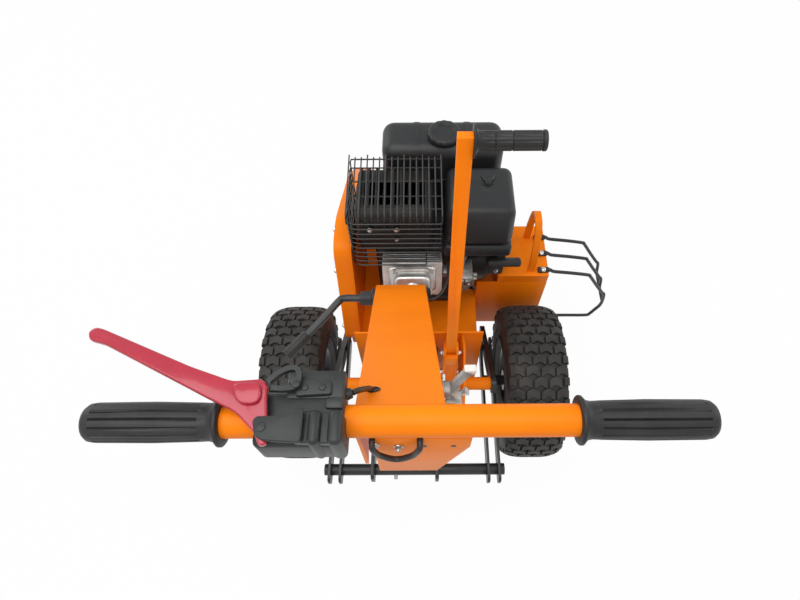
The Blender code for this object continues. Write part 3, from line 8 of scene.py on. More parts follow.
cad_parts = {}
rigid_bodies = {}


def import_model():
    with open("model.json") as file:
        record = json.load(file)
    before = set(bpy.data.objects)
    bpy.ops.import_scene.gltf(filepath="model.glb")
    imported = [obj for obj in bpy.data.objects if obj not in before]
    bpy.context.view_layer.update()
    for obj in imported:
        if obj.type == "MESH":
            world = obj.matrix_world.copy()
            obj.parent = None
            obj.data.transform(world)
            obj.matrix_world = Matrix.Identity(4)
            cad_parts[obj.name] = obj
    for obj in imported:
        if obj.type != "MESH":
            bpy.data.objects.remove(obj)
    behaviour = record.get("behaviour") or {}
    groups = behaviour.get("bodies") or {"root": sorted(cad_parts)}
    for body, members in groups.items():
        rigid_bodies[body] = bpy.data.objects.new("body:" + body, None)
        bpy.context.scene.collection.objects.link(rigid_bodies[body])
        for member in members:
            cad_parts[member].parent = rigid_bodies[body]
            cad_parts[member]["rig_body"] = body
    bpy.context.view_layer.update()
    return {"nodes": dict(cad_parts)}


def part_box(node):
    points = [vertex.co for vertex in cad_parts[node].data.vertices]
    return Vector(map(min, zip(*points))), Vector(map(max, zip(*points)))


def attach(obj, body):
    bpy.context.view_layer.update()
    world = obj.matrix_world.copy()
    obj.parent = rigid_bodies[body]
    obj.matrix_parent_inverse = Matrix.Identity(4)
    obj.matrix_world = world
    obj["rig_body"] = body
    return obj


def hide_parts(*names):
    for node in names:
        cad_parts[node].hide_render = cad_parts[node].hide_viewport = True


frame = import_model()
print("frame loaded:", len(frame["nodes"]), "CAD nodes")

# Every place below is measured from the middle of the wheel axle, on the ground, in metres:
# +X to the operator's right, +Y forward, +Z up. This step carries it into the frame.
axleToFrame = Vector((-0.0816, -0.30575, 0.0))


# Camera: over the operator's head, looking down past the bar
cameraSetup = {
    "place": (0.0226, -0.525, 1.51),
    "tiltFromDown": 30.0,
    "roll": -0.3,
    "focal": 24.75,
    "sensor": 36.0,
    "shiftRight": -0.02925,
}

lens = bpy.data.cameras.new("overBarCamera")
lens.lens = cameraSetup["focal"]
lens.sensor_width = cameraSetup["sensor"]
lens.shift_x = cameraSetup["shiftRight"]
lens.clip_start = 0.01
overBarCamera = bpy.data.objects.new("overBarCamera", lens)
bpy.context.scene.collection.objects.link(overBarCamera)
overBarCamera.matrix_world = (
    Matrix.Translation(Vector(cameraSetup["place"]) + axleToFrame)
    @ Matrix.Rotation(math.radians(cameraSetup["tiltFromDown"]), 4, "X")
    @ Matrix.Rotation(math.radians(cameraSetup["roll"]), 4, "Z")
)
bpy.context.scene.camera = overBarCamera
bpy.context.scene.view_settings.view_transform = "Standard"


# Studio: a white floor, one big soft lamp overhead and two fill lamps
studio = {
    "floorSize": 30.0,
    "floorColour": (0.8, 0.8, 0.8, 1.0),
    "floorRough": 0.9,
    "floorSpecular": 0.1,
    "floorWhiteShare": 0.96,
    "skyStrength": 0.5,
}
lampSetup = {
    "keyLamp": {"place": (-0.6, -0.9, 3.4), "aim": (0, 0, 0.3), "size": 3.0, "power": 68.0},
    "leftFill": {"place": (-2.6, 1.6, 2.0), "aim": (0, 0, 0.4), "size": 2.0, "power": 22.0},
    "rightFill": {"place": (2.8, 0.4, 2.2), "aim": (0, 0, 0.4), "size": 2.0, "power": 22.0},
}


def addLamp(name, place, aim, size, power):
    lamp = bpy.data.lights.new(name, "AREA")
    lamp.shape = "DISK"
    lamp.size = size
    lamp.energy = power
    holder = bpy.data.objects.new(name, lamp)
    bpy.context.scene.collection.objects.link(holder)
    holder.location = place
    holder.rotation_euler = (Vector(aim) - Vector(place)).to_track_quat("-Z", "Y").to_euler()


def showWhite(tree, rayNames, plain, white, output, share=1.0):
    # the named rays see the white shader, every other ray the plain one
    rays = tree.nodes.new("ShaderNodeLightPath")
    seen = rays.outputs[rayNames[0]]
    for rayName in rayNames[1:]:
        either = tree.nodes.new("ShaderNodeMath")
        either.operation = "MAXIMUM"
        tree.links.new(seen, either.inputs[0])
        tree.links.new(rays.outputs[rayName], either.inputs[1])
        seen = either.outputs[0]
    scaled = tree.nodes.new("ShaderNodeMath")
    scaled.operation = "MULTIPLY"
    scaled.inputs[1].default_value = share
    mix = tree.nodes.new("ShaderNodeMixShader")
    tree.links.new(seen, scaled.inputs[0])
    tree.links.new(scaled.outputs[0], mix.inputs["Fac"])
    tree.links.new(plain.outputs[0], mix.inputs[1])
    tree.links.new(white.outputs[0], mix.inputs[2])
    tree.links.new(mix.outputs[0], output.inputs["Surface"])


floorMesh = bmesh.new()
bmesh.ops.create_grid(floorMesh, x_segments=1, y_segments=1, size=studio["floorSize"] / 2)
floorData = bpy.data.meshes.new("studioFloor")
floorMesh.to_mesh(floorData)
floorMesh.free()
studioFloor = bpy.data.objects.new("studioFloor", floorData)
bpy.context.scene.collection.objects.link(studioFloor)
floorPaint = bpy.data.materials.new("studioFloorPaint")
floorPaint.use_nodes = True
floorNodes = floorPaint.node_tree.nodes
floorShader = floorNodes["Principled BSDF"]
floorShader.inputs["Base Color"].default_value = studio["floorColour"]
floorShader.inputs["Roughness"].default_value = studio["floorRough"]
floorShader.inputs["Specular IOR Level"].default_value = studio["floorSpecular"]
floorWhite = floorNodes.new("ShaderNodeEmission")
floorWhite.inputs["Strength"].default_value = 1.0
showWhite(floorPaint.node_tree, ("Is Camera Ray", "Is Glossy Ray"), floorShader, floorWhite,
    floorNodes["Material Output"], studio["floorWhiteShare"])
floorData.materials.append(floorPaint)
for name, setup in lampSetup.items():
    addLamp(name, **setup)

sky = bpy.data.worlds.new("whiteSky")
bpy.context.scene.world = sky
sky.use_nodes = True
sky.node_tree.nodes.clear()
skySheets = []
for strength in (studio["skyStrength"], 1.0):
    sheet = sky.node_tree.nodes.new("ShaderNodeBackground")
    sheet.inputs["Strength"].default_value = strength
    sheet.inputs["Color"].default_value = (1.0, 1.0, 1.0, 1.0)
    skySheets.append(sheet)
showWhite(sky.node_tree, ("Is Camera Ray", "Is Glossy Ray", "Is Transmission Ray"), *skySheets,
    sky.node_tree.nodes.new("ShaderNodeOutputWorld"))
print("camera, floor and lamps set")


# Finishes: usual slot, colour and its shade in patches, then roughness and its spread, coat,
# metal, specular, scale of the patches, scale of the grain and the grain's relief
finishes = {
    "orangePaint": ("orange_paint", (0.95, 0.232, 0.005), (0.89, 0.205, 0.004),
        0.4, 0.1, 0.02, 0.0, 0.1, 9.0, 420.0, 0.01),
    "redPaint": ("red_paint", (0.43, 0.016, 0.04), (0.36, 0.012, 0.032),
        0.22, 0.08, 0.5, 0.0, 0.3, 20.0, 300.0, 0.008),
    "blackPaint": ("black_paint", (0.016, 0.016, 0.016), (0.026, 0.026, 0.026),
        0.38, 0.12, 0.1, 0.0, 0.3, 14.0, 380.0, 0.02),
    "engineBlack": ("black_plastic", (0.014, 0.015, 0.016), (0.02, 0.021, 0.022),
        0.42, 0.1, 0.0, 0.0, 0.3, 8.0, 900.0, 0.03),
    "mufflerBlack": ("black_paint", (0.01, 0.01, 0.01), (0.022, 0.02, 0.018),
        0.55, 0.15, 0.0, 0.0, 0.3, 22.0, 520.0, 0.05),
    "gripRubber": ("black_rubber", (0.014, 0.014, 0.014), (0.024, 0.024, 0.024),
        0.46, 0.12, 0.0, 0.0, 0.3, 30.0, 700.0, 0.03),
    "tyreRubber": ("tyre_rubber", (0.02, 0.019, 0.018), (0.04, 0.037, 0.034),
        0.6, 0.14, 0.0, 0.0, 0.3, 26.0, 520.0, 0.05),
    "bracketBlack": ("cast_aluminium", (0.016, 0.018, 0.018), (0.03, 0.033, 0.033),
        0.4, 0.12, 0.0, 0.0, 0.3, 18.0, 650.0, 0.04),
    "castAluminium": ("cast_aluminium", (0.66, 0.66, 0.64), (0.48, 0.48, 0.46),
        0.38, 0.16, 0.0, 0.85, 0.3, 30.0, 600.0, 0.09),
    "caseGrey": ("cast_metal", (0.055, 0.056, 0.058), (0.035, 0.036, 0.037),
        0.5, 0.14, 0.0, 0.3, 0.3, 18.0, 500.0, 0.08),
    "carburettorGrey": ("bright_steel", (0.34, 0.335, 0.32), (0.2, 0.195, 0.185),
        0.44, 0.14, 0.0, 0.7, 0.3, 60.0, 700.0, 0.07),
    "zincPlate": ("bright_steel", (0.6, 0.6, 0.58), (0.44, 0.44, 0.42),
        0.28, 0.12, 0.0, 1.0, 0.3, 60.0, 500.0, 0.03),
    "chainSteel": ("cast_metal", (0.1, 0.095, 0.09), (0.2, 0.19, 0.175),
        0.45, 0.18, 0.0, 0.8, 0.3, 55.0, 420.0, 0.1),
    "cableBlack": ("black_rubber", (0.02, 0.016, 0.014), (0.034, 0.028, 0.024),
        0.36, 0.1, 0.0, 0.0, 0.3, 40.0, 600.0, 0.02),
    "nylonWhite": ("black_plastic", (0.72, 0.71, 0.66), (0.6, 0.59, 0.54),
        0.5, 0.1, 0.0, 0.0, 0.3, 40.0, 600.0, 0.02),
}


def makeFinish(name, colour, shade, rough, spread, coat, metal, specular, patch, grain, relief):
    finish = bpy.data.materials.new(name)
    finish.use_nodes = True
    finish.diffuse_color = (*colour, 1.0)
    tree = finish.node_tree
    shader = tree.nodes["Principled BSDF"]
    shader.inputs["Metallic"].default_value = metal
    shader.inputs["Coat Weight"].default_value = coat
    shader.inputs["Coat Roughness"].default_value = 0.08
    shader.inputs["Specular IOR Level"].default_value = specular
    places = tree.nodes.new("ShaderNodeTexCoord")
    cloud = tree.nodes.new("ShaderNodeTexNoise")  # slow drift of shade over the surface
    cloud.inputs["Scale"].default_value = patch
    cloud.inputs["Detail"].default_value = 5.0
    cloud.inputs["Roughness"].default_value = 0.6
    tree.links.new(places.outputs["Object"], cloud.inputs["Vector"])
    blend = tree.nodes.new("ShaderNodeValToRGB")
    for stop, (position, tint) in zip(blend.color_ramp.elements, ((0.35, shade), (0.62, colour))):
        stop.position = position
        stop.color = (*tint, 1.0)
    tree.links.new(cloud.outputs["Fac"], blend.inputs["Fac"])
    tree.links.new(blend.outputs["Color"], shader.inputs["Base Color"])
    gloss = tree.nodes.new("ShaderNodeMapRange")
    gloss.inputs["To Min"].default_value = rough - spread / 2
    gloss.inputs["To Max"].default_value = rough + spread / 2
    tree.links.new(cloud.outputs["Fac"], gloss.inputs["Value"])
    tree.links.new(gloss.outputs["Result"], shader.inputs["Roughness"])
    fine = tree.nodes.new("ShaderNodeTexNoise")  # orange peel, cast skin or moulded grain
    fine.inputs["Scale"].default_value = grain
    fine.inputs["Detail"].default_value = 2.0
    tree.links.new(places.outputs["Object"], fine.inputs["Vector"])
    skin = tree.nodes.new("ShaderNodeBump")
    skin.inputs["Strength"].default_value = 0.35
    skin.inputs["Distance"].default_value = relief * 0.01
    tree.links.new(fine.outputs["Fac"], skin.inputs["Height"])
    tree.links.new(skin.outputs["Normal"], shader.inputs["Normal"])
    return finish


paints = {name: makeFinish(name, *look[1:]) for name, look in finishes.items()}
print("finishes mixed:", len(paints))


# Shape helpers; each one adds to a bmesh
def circlePoints(count):
    return [2 * math.pi * step / count for step in range(count)]


def edgesOf(verts):
    return {edge for vert in verts for edge in vert.link_edges}


def bevelEdges(shape, edges, width, steps=2, clamp=False):
    bmesh.ops.bevel(shape, geom=list(edges), offset=width, segments=steps, profile=0.5, affect="EDGES",
        material=-1, clamp_overlap=clamp)


def addBlock(shape, low, high, bevel=0.0, steps=2, turn=None, about=None):
    size = [b - a for a, b in zip(low, high)]
    middle = Vector([(a + b) / 2 for a, b in zip(low, high)])
    verts = bmesh.ops.create_cube(shape, size=1.0)["verts"]
    bmesh.ops.scale(shape, vec=size, verts=verts)
    bmesh.ops.translate(shape, vec=middle, verts=verts)
    if turn:
        bmesh.ops.rotate(shape, cent=about or middle, matrix=turn, verts=verts)
    if bevel:
        bevelEdges(shape, edgesOf(verts), bevel, steps, clamp=True)


def addRod(shape, start, end, radius, sides=24, tip=None, bevel=0.0):
    start, end = Vector(start), Vector(end)
    turn = (end - start).to_track_quat("Z", "Y").to_matrix().to_4x4()
    verts = bmesh.ops.create_cone(shape, cap_ends=True, segments=sides, radius1=radius,
        radius2=radius if tip is None else tip, depth=(end - start).length,
        matrix=Matrix.Translation((start + end) / 2) @ turn)["verts"]
    if bevel:
        rims = {edge for edge in edgesOf(verts) if any(len(face.verts) > 4 for face in edge.link_faces)}
        bevelEdges(shape, rims, bevel)


def addBolt(shape, seat, axis, size=0.0065, washer=True):
    seat, axis = Vector(seat), Vector(axis).normalized()
    if washer:
        addRod(shape, seat - axis * 0.0004, seat + axis * 0.0014, size * 1.35, 20, bevel=0.0004)
    addRod(shape, seat + axis * 0.001, seat + axis * (0.0014 + size * 0.75), size, 6, bevel=0.0006)
    addRod(shape, seat + axis * size * 0.5, seat + axis * (0.002 + size), size * 0.5, 14, bevel=0.0005)


def curveThrough(points, steps=6):
    spots = [Vector(point) for point in points]
    spots = [spots[0] * 2 - spots[1]] + spots + [spots[-1] * 2 - spots[-2]]
    route = []
    for a, b, c, d in zip(spots, spots[1:], spots[2:], spots[3:]):
        for step in range(steps):
            t = step / steps
            route.append(0.5 * (2 * b + (c - a) * t + (2 * a - 5 * b + 4 * c - d) * t * t
                + (3 * b - a - 3 * c + d) * t ** 3))
    return route + [spots[-2]]


def bridgeAlong(shape, route, sides, section, side=None):
    # carries a ring along the route and skins from ring to ring
    route = [Vector(point) for point in route]
    heading, rings = None, []
    for index, point in enumerate(route):
        before = route[max(index - 1, 0)]
        after = route[min(index + 1, len(route) - 1)]
        ahead = (after - before).normalized()
        if side is not None:
            across = (Vector(side) - ahead * ahead.dot(Vector(side))).normalized()
            turn = Matrix((across, ahead.cross(across), ahead)).transposed().to_quaternion()
        elif heading is None:
            turn = ahead.to_track_quat("Z", "Y")
        else:
            turn = heading.rotation_difference(ahead) @ turn
        heading = ahead
        ring = bmesh.ops.create_circle(shape, cap_ends=False, segments=sides, radius=1.0,
            matrix=Matrix.Translation(point) @ turn.to_matrix().to_4x4() @ section)["verts"]
        rings.append(list(edgesOf(ring)))
    for first, second in zip(rings, rings[1:]):
        bmesh.ops.bridge_loops(shape, edges=first + second)
    bmesh.ops.edgeloop_fill(shape, edges=rings[0])
    bmesh.ops.edgeloop_fill(shape, edges=rings[-1])


def addTube(shape, route, radius, sides=10):
    bridgeAlong(shape, route, sides, Matrix.Diagonal((radius, radius, radius, 1.0)))


def addStrap(shape, route, width, thickness, side):
    quarter = Matrix.Rotation(math.pi / 4, 4, "Z")
    corner = math.sqrt(0.5)
    section = Matrix.Diagonal((width * corner, thickness * corner, 1.0, 1.0)) @ quarter
    bridgeAlong(shape, route, 4, section, side)


def addLathe(shape, profile, centre, axis, steps=48):
    # profile points are (radius, distance along the axis); its ends lie on the axis or it closes
    axis = Vector(axis).normalized()
    out = Vector((0, 0, 1)) if abs(axis.z) < 0.9 else Vector((0, 1, 0))
    verts = [shape.verts.new(Vector(centre) + axis * along + out * radius) for radius, along in profile]
    edges = [shape.edges.new(pair) for pair in zip(verts, verts[1:])]
    if profile[0][0] > 0.0001:
        edges.append(shape.edges.new((verts[-1], verts[0])))
    bmesh.ops.spin(shape, geom=verts + edges, cent=centre, axis=axis, dvec=(0, 0, 0),
        angle=2 * math.pi, steps=steps, use_merge=True, use_duplicate=False)
    bmesh.ops.remove_doubles(shape, verts=shape.verts, dist=0.000002)


def addPlate(shape, outline, low, high, facing="Z", bevel=0.0, steps=2):
    # a flat outline given its thickness between low and high along the facing axis
    order = {
        "X": lambda a, b, c: (c, a, b),
        "Y": lambda a, b, c: (a, c, b),
        "Z": lambda a, b, c: (a, b, c),
    }[facing]
    verts = [shape.verts.new(order(a, b, low)) for a, b in outline]
    face = shape.faces.new(verts)
    made = bmesh.ops.extrude_face_region(shape, geom=[face])
    raised = [item for item in made["geom"] if isinstance(item, bmesh.types.BMVert)]
    bmesh.ops.translate(shape, vec=order(0.0, 0.0, high - low), verts=raised)
    if bevel:
        rims = {edge for edge in edgesOf(verts + raised) if len(edge.link_faces) == 2
            and edge.calc_face_angle(0.0) > math.radians(60)}
        bevelEdges(shape, rims, bevel, steps)


def roundCorners(points, radius, steps=5):
    outline = []
    for index, corner in enumerate(points):
        corner = Vector(corner)
        back = Vector(points[index - 1]) - corner
        ahead = Vector(points[(index + 1) % len(points)]) - corner
        reach = min(radius, back.length * 0.45, ahead.length * 0.45)
        first = corner + back.normalized() * reach
        last = corner + ahead.normalized() * reach
        for step in range(steps + 1):
            t = step / steps
            outline.append(first * (1 - t) ** 2 + corner * 2 * t * (1 - t) + last * t * t)
    return outline


def addRoundPlate(shape, points, corner, rounding, low, high, facing="Z", bevel=0.0, steps=2):
    addPlate(shape, roundCorners(points, corner, rounding), low, high, facing, bevel, steps)


def nodeBox(node):
    low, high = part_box(node)
    return low - axleToFrame, high - axleToFrame


def finishPiece(shape, name, finish, replaced=(), body="root", crease=38.0, solve=True):
    if solve:
        bmesh.ops.recalc_face_normals(shape, faces=shape.faces)
    bmesh.ops.translate(shape, vec=axleToFrame, verts=shape.verts)
    mesh = bpy.data.meshes.new(name)
    shape.to_mesh(mesh)
    shape.free()
    mesh.shade_smooth()
    mesh.set_sharp_from_angle(angle=math.radians(crease))
    piece = bpy.data.objects.new(name, mesh)
    bpy.context.scene.collection.objects.link(piece)
    mesh.materials.append(paints[finish])
    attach(piece, body)
    if replaced:
        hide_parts(*replaced)


def camelName(node):
    words = node.split("_")
    return words[0] + "".join(word.capitalize() for word in words[1:])


# Painted and turned pieces that keep the CAD shape: each is the node's own mesh with its
# doubles merged, its flats joined, its edges broken and its round faces shaded smooth.
dressedNodes = (
    ("orangePaint", "orange_paint", {"belt_guard": 0.0022, "belt_guard_back": 0.0, "boom": 0.0008,
        "chassis_box": 0.0012, "column": 0.0, "depth_lever": 0.0012, "handlebar": 0.0,
        "lever_quadrant": 0.0008, "rear_panel": 0.001, "right_housing": 0.0012}),
    # the frame rails carry the orange slot but get black paint: painted shade for the dark under the deck
    ("blackPaint", "orange_paint", {"left_frame_rail": 0.0012, "right_frame_rail": 0.0012}),
    ("blackPaint", "black_paint", {"left_wheel_arm": 0.0008, "right_wheel_arm": 0.0008,
        "rear_tube": 0.0008, "left_rim": 0.0, "right_rim": 0.0, "hand_rod": 0.0}),
    ("gripRubber", "black_paint", {"rod_socket": 0.0008}),
    ("gripRubber", "black_rubber", {"rod_grip": 0.0012}),
    ("mufflerBlack", "black_paint", {"muffler": 0.0}),
    ("caseGrey", "cast_aluminium", {"crankcase": 0.0012}),
    ("engineBlack", "black_plastic", {"recoil_housing": 0.0}),
    ("gripRubber", "black_plastic", {"recoil_grip": 0.0, "spark_plug": 0.0012}),
    ("engineBlack", "black_plastic", {"air_cleaner_base": 0.0, "choke_lever": 0.0006}),
    ("caseGrey", "cast_metal", {"driven_pulley": 0.0006, "engine_pulley": 0.0006}),
    ("zincPlate", "cast_metal", {"head_shaft": 0.001}),
    ("chainSteel", "cast_metal", {"head_sprocket": 0.0006, "nose_wheel": 0.0006}),
    ("caseGrey", "cast_metal", {"left_bearing": 0.0006, "right_bearing": 0.0006}),
    ("cableBlack", "black_rubber", {"drive_belt": 0.0}),
)
bodyOfNode = {node: item["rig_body"] for node, item in frame["nodes"].items()}
mergeDistance = 0.00001
flatAngle = math.radians(0.5)
cornerAngle = math.radians(40)


def readNode(node, shift=(0.0, 0.0, 0.0)):
    shape = bmesh.new()
    shape.from_mesh(frame["nodes"][node].data)
    bmesh.ops.translate(shape, vec=shift, verts=shape.verts)
    bmesh.ops.remove_doubles(shape, verts=shape.verts, dist=mergeDistance)
    bmesh.ops.dissolve_limit(shape, angle_limit=flatAngle, verts=shape.verts, edges=shape.edges)
    return shape


def dressNode(node, finish, brokenEdge):
    shape = readNode(node)
    if brokenEdge:
        corners = [edge for edge in shape.edges if len(edge.link_faces) == 2
            and edge.calc_face_angle(0.0) > cornerAngle]
        bevelEdges(shape, corners, brokenEdge, clamp=True)
    bmesh.ops.translate(shape, vec=-axleToFrame, verts=shape.verts)
    finishPiece(shape, camelName(node), finish, [node], body=bodyOfNode[node], solve=False)


for finish, slot, nodes in dressedNodes:
    for node, brokenEdge in nodes.items():
        dressNode(node, finish, brokenEdge)
print("CAD nodes dressed")


# Rockshaft: the tube is orange and its crank arms are black
shaftY = -0.052
shaftZ = 0.3
shaftRadius = 0.015
shaftHalf = 0.19
shaftArmFace = 0.1773
shape = bmesh.new()
addRod(shape, (-shaftHalf, shaftY, shaftZ), (shaftHalf, shaftY, shaftZ), shaftRadius, 48, bevel=0.001)
finishPiece(shape, "rockshaftTube", "orangePaint", ["rockshaft"], body="depth_lever")
shape = readNode("rockshaft", -axleToFrame)
halves = []
for side in (-1, 1):
    half = shape.copy()
    bmesh.ops.bisect_plane(half, geom=half.verts[:] + half.edges[:] + half.faces[:], dist=mergeDistance,
        plane_co=(side * shaftArmFace, 0, 0), plane_no=(side, 0, 0), clear_inner=True)
    bmesh.ops.holes_fill(half, edges=[edge for edge in half.edges if len(edge.link_faces) == 1], sides=0)
    halves.append(half)
shape.clear()
for half in halves:
    armMesh = bpy.data.meshes.new("crankArmHalf")
    half.to_mesh(armMesh)
    half.free()
    shape.from_mesh(armMesh)
    bpy.data.meshes.remove(armMesh)
finishPiece(shape, "rockshaftArms", "blackPaint", body="depth_lever")


# Turf tyres: a turned carcass with staggered rows of wavy blocks
tyreRadius = 0.19
tyreHalfWidth = 0.07
tyreTreadDepth = 0.0065
tyreCrownDrop = 0.014
tyreRows = 46
tyreFourRow = ((-0.05025, 0.03), (-0.01675, 0.03), (0.01675, 0.03), (0.05025, 0.03))
tyreThreeRow = ((-0.0605, 0.014), (-0.0335, 0.03), (0.0, 0.03), (0.0335, 0.03), (0.0605, 0.014))
tyreBlockLength = 0.0205
tyreWave = 0.0035
tyreWaveLength = 0.03
tyreBlockRoot = -0.0015
tyreBlockTaper = (0.95, 0.92, 1.0)
tyreRibRadii = (0.112, 0.128)


def crownRadius(across):
    share = min(1.0, abs(across) / tyreHalfWidth)
    return tyreRadius - tyreTreadDepth - tyreCrownDrop * share ** 4


def addTreadRow(shape, row):
    angle = 2 * math.pi * row / tyreRows
    for middle, width in (tyreThreeRow if row % 2 else tyreFourRow):
        verts = bmesh.ops.create_grid(shape, x_segments=6, y_segments=1, size=0.5)["verts"]
        faces = list({face for vert in verts for face in vert.link_faces})
        bmesh.ops.scale(shape, vec=(width, tyreBlockLength, 1.0), verts=verts)
        top = bmesh.ops.extrude_face_region(shape, geom=faces)["geom"]
        raised = [item for item in top if isinstance(item, bmesh.types.BMVert)]
        bmesh.ops.delete(shape, geom=faces, context="FACES_ONLY")
        bmesh.ops.scale(shape, vec=tyreBlockTaper, verts=raised)
        for vert in verts:
            vert.co.z = tyreBlockRoot
        for vert in raised:
            vert.co.z = tyreTreadDepth
        for vert in verts + raised:
            swing = math.cos(2 * math.pi * vert.co.x / tyreWaveLength)
            across = vert.co.x + middle
            along = vert.co.y + tyreWave * swing
            height = crownRadius(across) + vert.co.z
            turn = along / tyreRadius + angle
            vert.co = (across, height * math.sin(turn), height * math.cos(turn))


def addTurfTyre(shape, centre):
    half, radius = tyreHalfWidth, tyreRadius
    bead = [(0.0785, 0.0515), (0.086, 0.0515), (0.0885, 0.057), (0.1, 0.0625), (0.118, 0.0672),
        (0.14, half - 0.0008), (0.154, half - 0.0016), (0.16, half - 0.003)]
    crown = [(crownRadius(half * share), half * share) for share in (0.93, 0.86, 0.74, 0.6, 0.4, 0.2)]
    side = bead + crown
    profile = side + [(crownRadius(0.0), 0.0)] + [(r, -h) for r, h in reversed(side)]
    addLathe(shape, profile, (0, 0, 0), (1, 0, 0), 96)
    for ribRadius in tyreRibRadii:  # two raised rings on each side wall
        for sign in (-1, 1):
            ring = [(ribRadius - 0.0022, 0.064), (ribRadius - 0.0012, 0.0692), (ribRadius + 0.0012, 0.07),
                (ribRadius + 0.0024, 0.0655)]
            addLathe(shape, [(r, sign * h) for r, h in ring], (0, 0, 0), (1, 0, 0), 72)
    for row in range(tyreRows):
        addTreadRow(shape, row)
    bmesh.ops.translate(shape, vec=centre, verts=shape.verts)


axleHeight = 0.19
trackHalf = 0.282
wheelBoltCircle = 0.048
wheelBoltFace = trackHalf + 0.0135
valveFace = trackHalf + 0.028
valveDrop = 0.062
for side, word in ((-1, "left"), (1, "right")):
    shape = bmesh.new()
    addTurfTyre(shape, (side * trackHalf, 0.0, axleHeight))
    finishPiece(shape, word + "TurfTyre", "tyreRubber", [word + "_tyre"], body=word + "_wheel", crease=30.0)
    shape = bmesh.new()  # four wheel bolts and the valve on the outer face of the rim
    for angle in circlePoints(4):
        spot = Vector((side * wheelBoltFace, wheelBoltCircle * math.cos(angle),
            axleHeight + wheelBoltCircle * math.sin(angle)))
        addBolt(shape, spot, (side, 0, 0), 0.0062)
    finishPiece(shape, word + "WheelBolts", "zincPlate", body=word + "_wheel")
    shape = bmesh.new()
    foot = Vector((side * valveFace, 0.0, axleHeight - valveDrop))
    addLathe(shape, [(0.0, 0.034), (0.0028, 0.034), (0.0032, 0.022), (0.005, 0.016), (0.0055, 0.0),
        (0.0, 0.0)], foot, (side, 0, -0.35), 16)
    finishPiece(shape, word + "TyreValve", "gripRubber", body=word + "_wheel")
print("tyres made")


# Rubber grips: a lathe shape whose lengthwise grooves are pressed in
barGripInner = 0.171
barGripOuter = 0.304
barGripRadius = 0.0197
barGripFlange = 0.024
barGripGrooves = 14
barGripGroove = 0.0022
barGripGrooveLeast = 0.0175
barY = -0.36
barZ = 0.99
barRadius = 0.016
grooveShare = 0.32  # how much of each pitch a groove takes


def pressGrooves(shape, centre, axis, span, grooves, depth, least):
    axis = Vector(axis).normalized()
    up = Vector((0, 0, 1))
    side = axis.cross(up).normalized()
    for vert in shape.verts:
        offset = vert.co - Vector(centre)
        along = offset.dot(axis)
        out = offset - axis * along
        if span[0] <= along <= span[1] and out.length > least:
            angle = math.atan2(out.dot(side), out.dot(up)) / (2 * math.pi) * grooves
            phase = (angle + 0.5) % 1.0
            if phase < grooveShare:
                vert.co -= out.normalized() * depth


for side, word in ((-1, "left"), (1, "right")):
    length, radius = barGripOuter - barGripInner, barGripRadius
    start, stop = 0.021, length - 0.012
    profile = [(0.0, length), (radius - 0.0085, length), (radius - 0.004, length - 0.0016),
        (radius - 0.0014, length - 0.005), (radius - 0.0008, length - 0.009),
        (radius - 0.0006, stop + 0.0014), (radius - 0.0005, stop), (radius, length * 0.5),
        (radius - 0.001, start), (radius - 0.0011, start - 0.0014), (radius - 0.0014, 0.013),
        (radius - 0.0004, 0.008), (barGripFlange - 0.0014, 0.0048), (barGripFlange, 0.0036),
        (barGripFlange, 0.0012), (barGripFlange - 0.001, 0.0002), (barRadius + 0.0003, 0.0002),
        (barRadius + 0.0003, 0.11), (0.0, 0.11)]
    centre = Vector((side * barGripInner, barY, barZ))
    shape = bmesh.new()
    addLathe(shape, profile, centre, (side, 0, 0), 84)
    pressGrooves(shape, centre, (side, 0, 0), (start - 0.0001, stop + 0.0001), barGripGrooves, barGripGroove,
        barGripGrooveLeast)
    finishPiece(shape, word + "BarGrip", "gripRubber", [word + "_grip"], crease=50.0)


# Grip of the depth lever: ribbed between ring breaks, with a wide flange at the lever
leverGripRadius = 0.0138
leverGripFlange = 0.0238
leverGripGrooves = 12
leverGripGroove = 0.001
leverGripAhead = 0.004
leverGripShort = 0.004
low, high = nodeBox("lever_grip")
gripStart = Vector((low.x, (low.y + high.y) / 2 + leverGripAhead, (low.z + high.z) / 2))
length, radius = high.x - low.x - leverGripShort, leverGripRadius
breaks = (0.014, 0.03, 0.054, length - 0.006)
profile = [(0.0, 0.0), (leverGripFlange - 0.001, 0.0), (leverGripFlange, 0.001),
    (leverGripFlange - 0.0004, 0.003), (radius + 0.003, 0.0044), (radius + 0.0008, 0.0064), (radius, 0.009)]
for first, second in zip(breaks, breaks[1:]):
    profile += [(radius, first + 0.0004), (radius, first + 0.0016), (radius, second - 0.003),
        (radius, second - 0.0018), (radius - 0.0012, second - 0.001), (radius - 0.0012, second)]
profile += [(radius + 0.0005, length - 0.0052), (radius + 0.0007, length - 0.004),
    (radius + 0.0007, length - 0.0016), (radius - 0.0004, length - 0.0002), (0.0, length)]
shape = bmesh.new()
addLathe(shape, profile, gripStart, (1, 0, 0), 84)
for first, second in zip(breaks, breaks[1:]):
    pressGrooves(shape, gripStart, (1, 0, 0), (first + 0.0015, second - 0.0029), leverGripGrooves,
        leverGripGroove, radius - 0.0005)
finishPiece(shape, "depthLeverGrip", "gripRubber", ["lever_grip"], body="depth_lever", crease=50.0)
print("grips made")


# Muffler cage: one bent basket of round wires
cageLeft = -0.1305
cageRight = 0.061
cageRear = 0.1565
cageFront = 0.3105
cageBottom = 0.4915
cageTop = 0.6565
cageRise = 0.012
cageWire = 0.0016
cageTopWires = 16
cageBackWires = 10


def cageTopAt(y):
    # the basket's top climbs toward the tank
    return cageTop + cageRise * max(0.0, (y - 0.2) / (cageFront - 0.2))


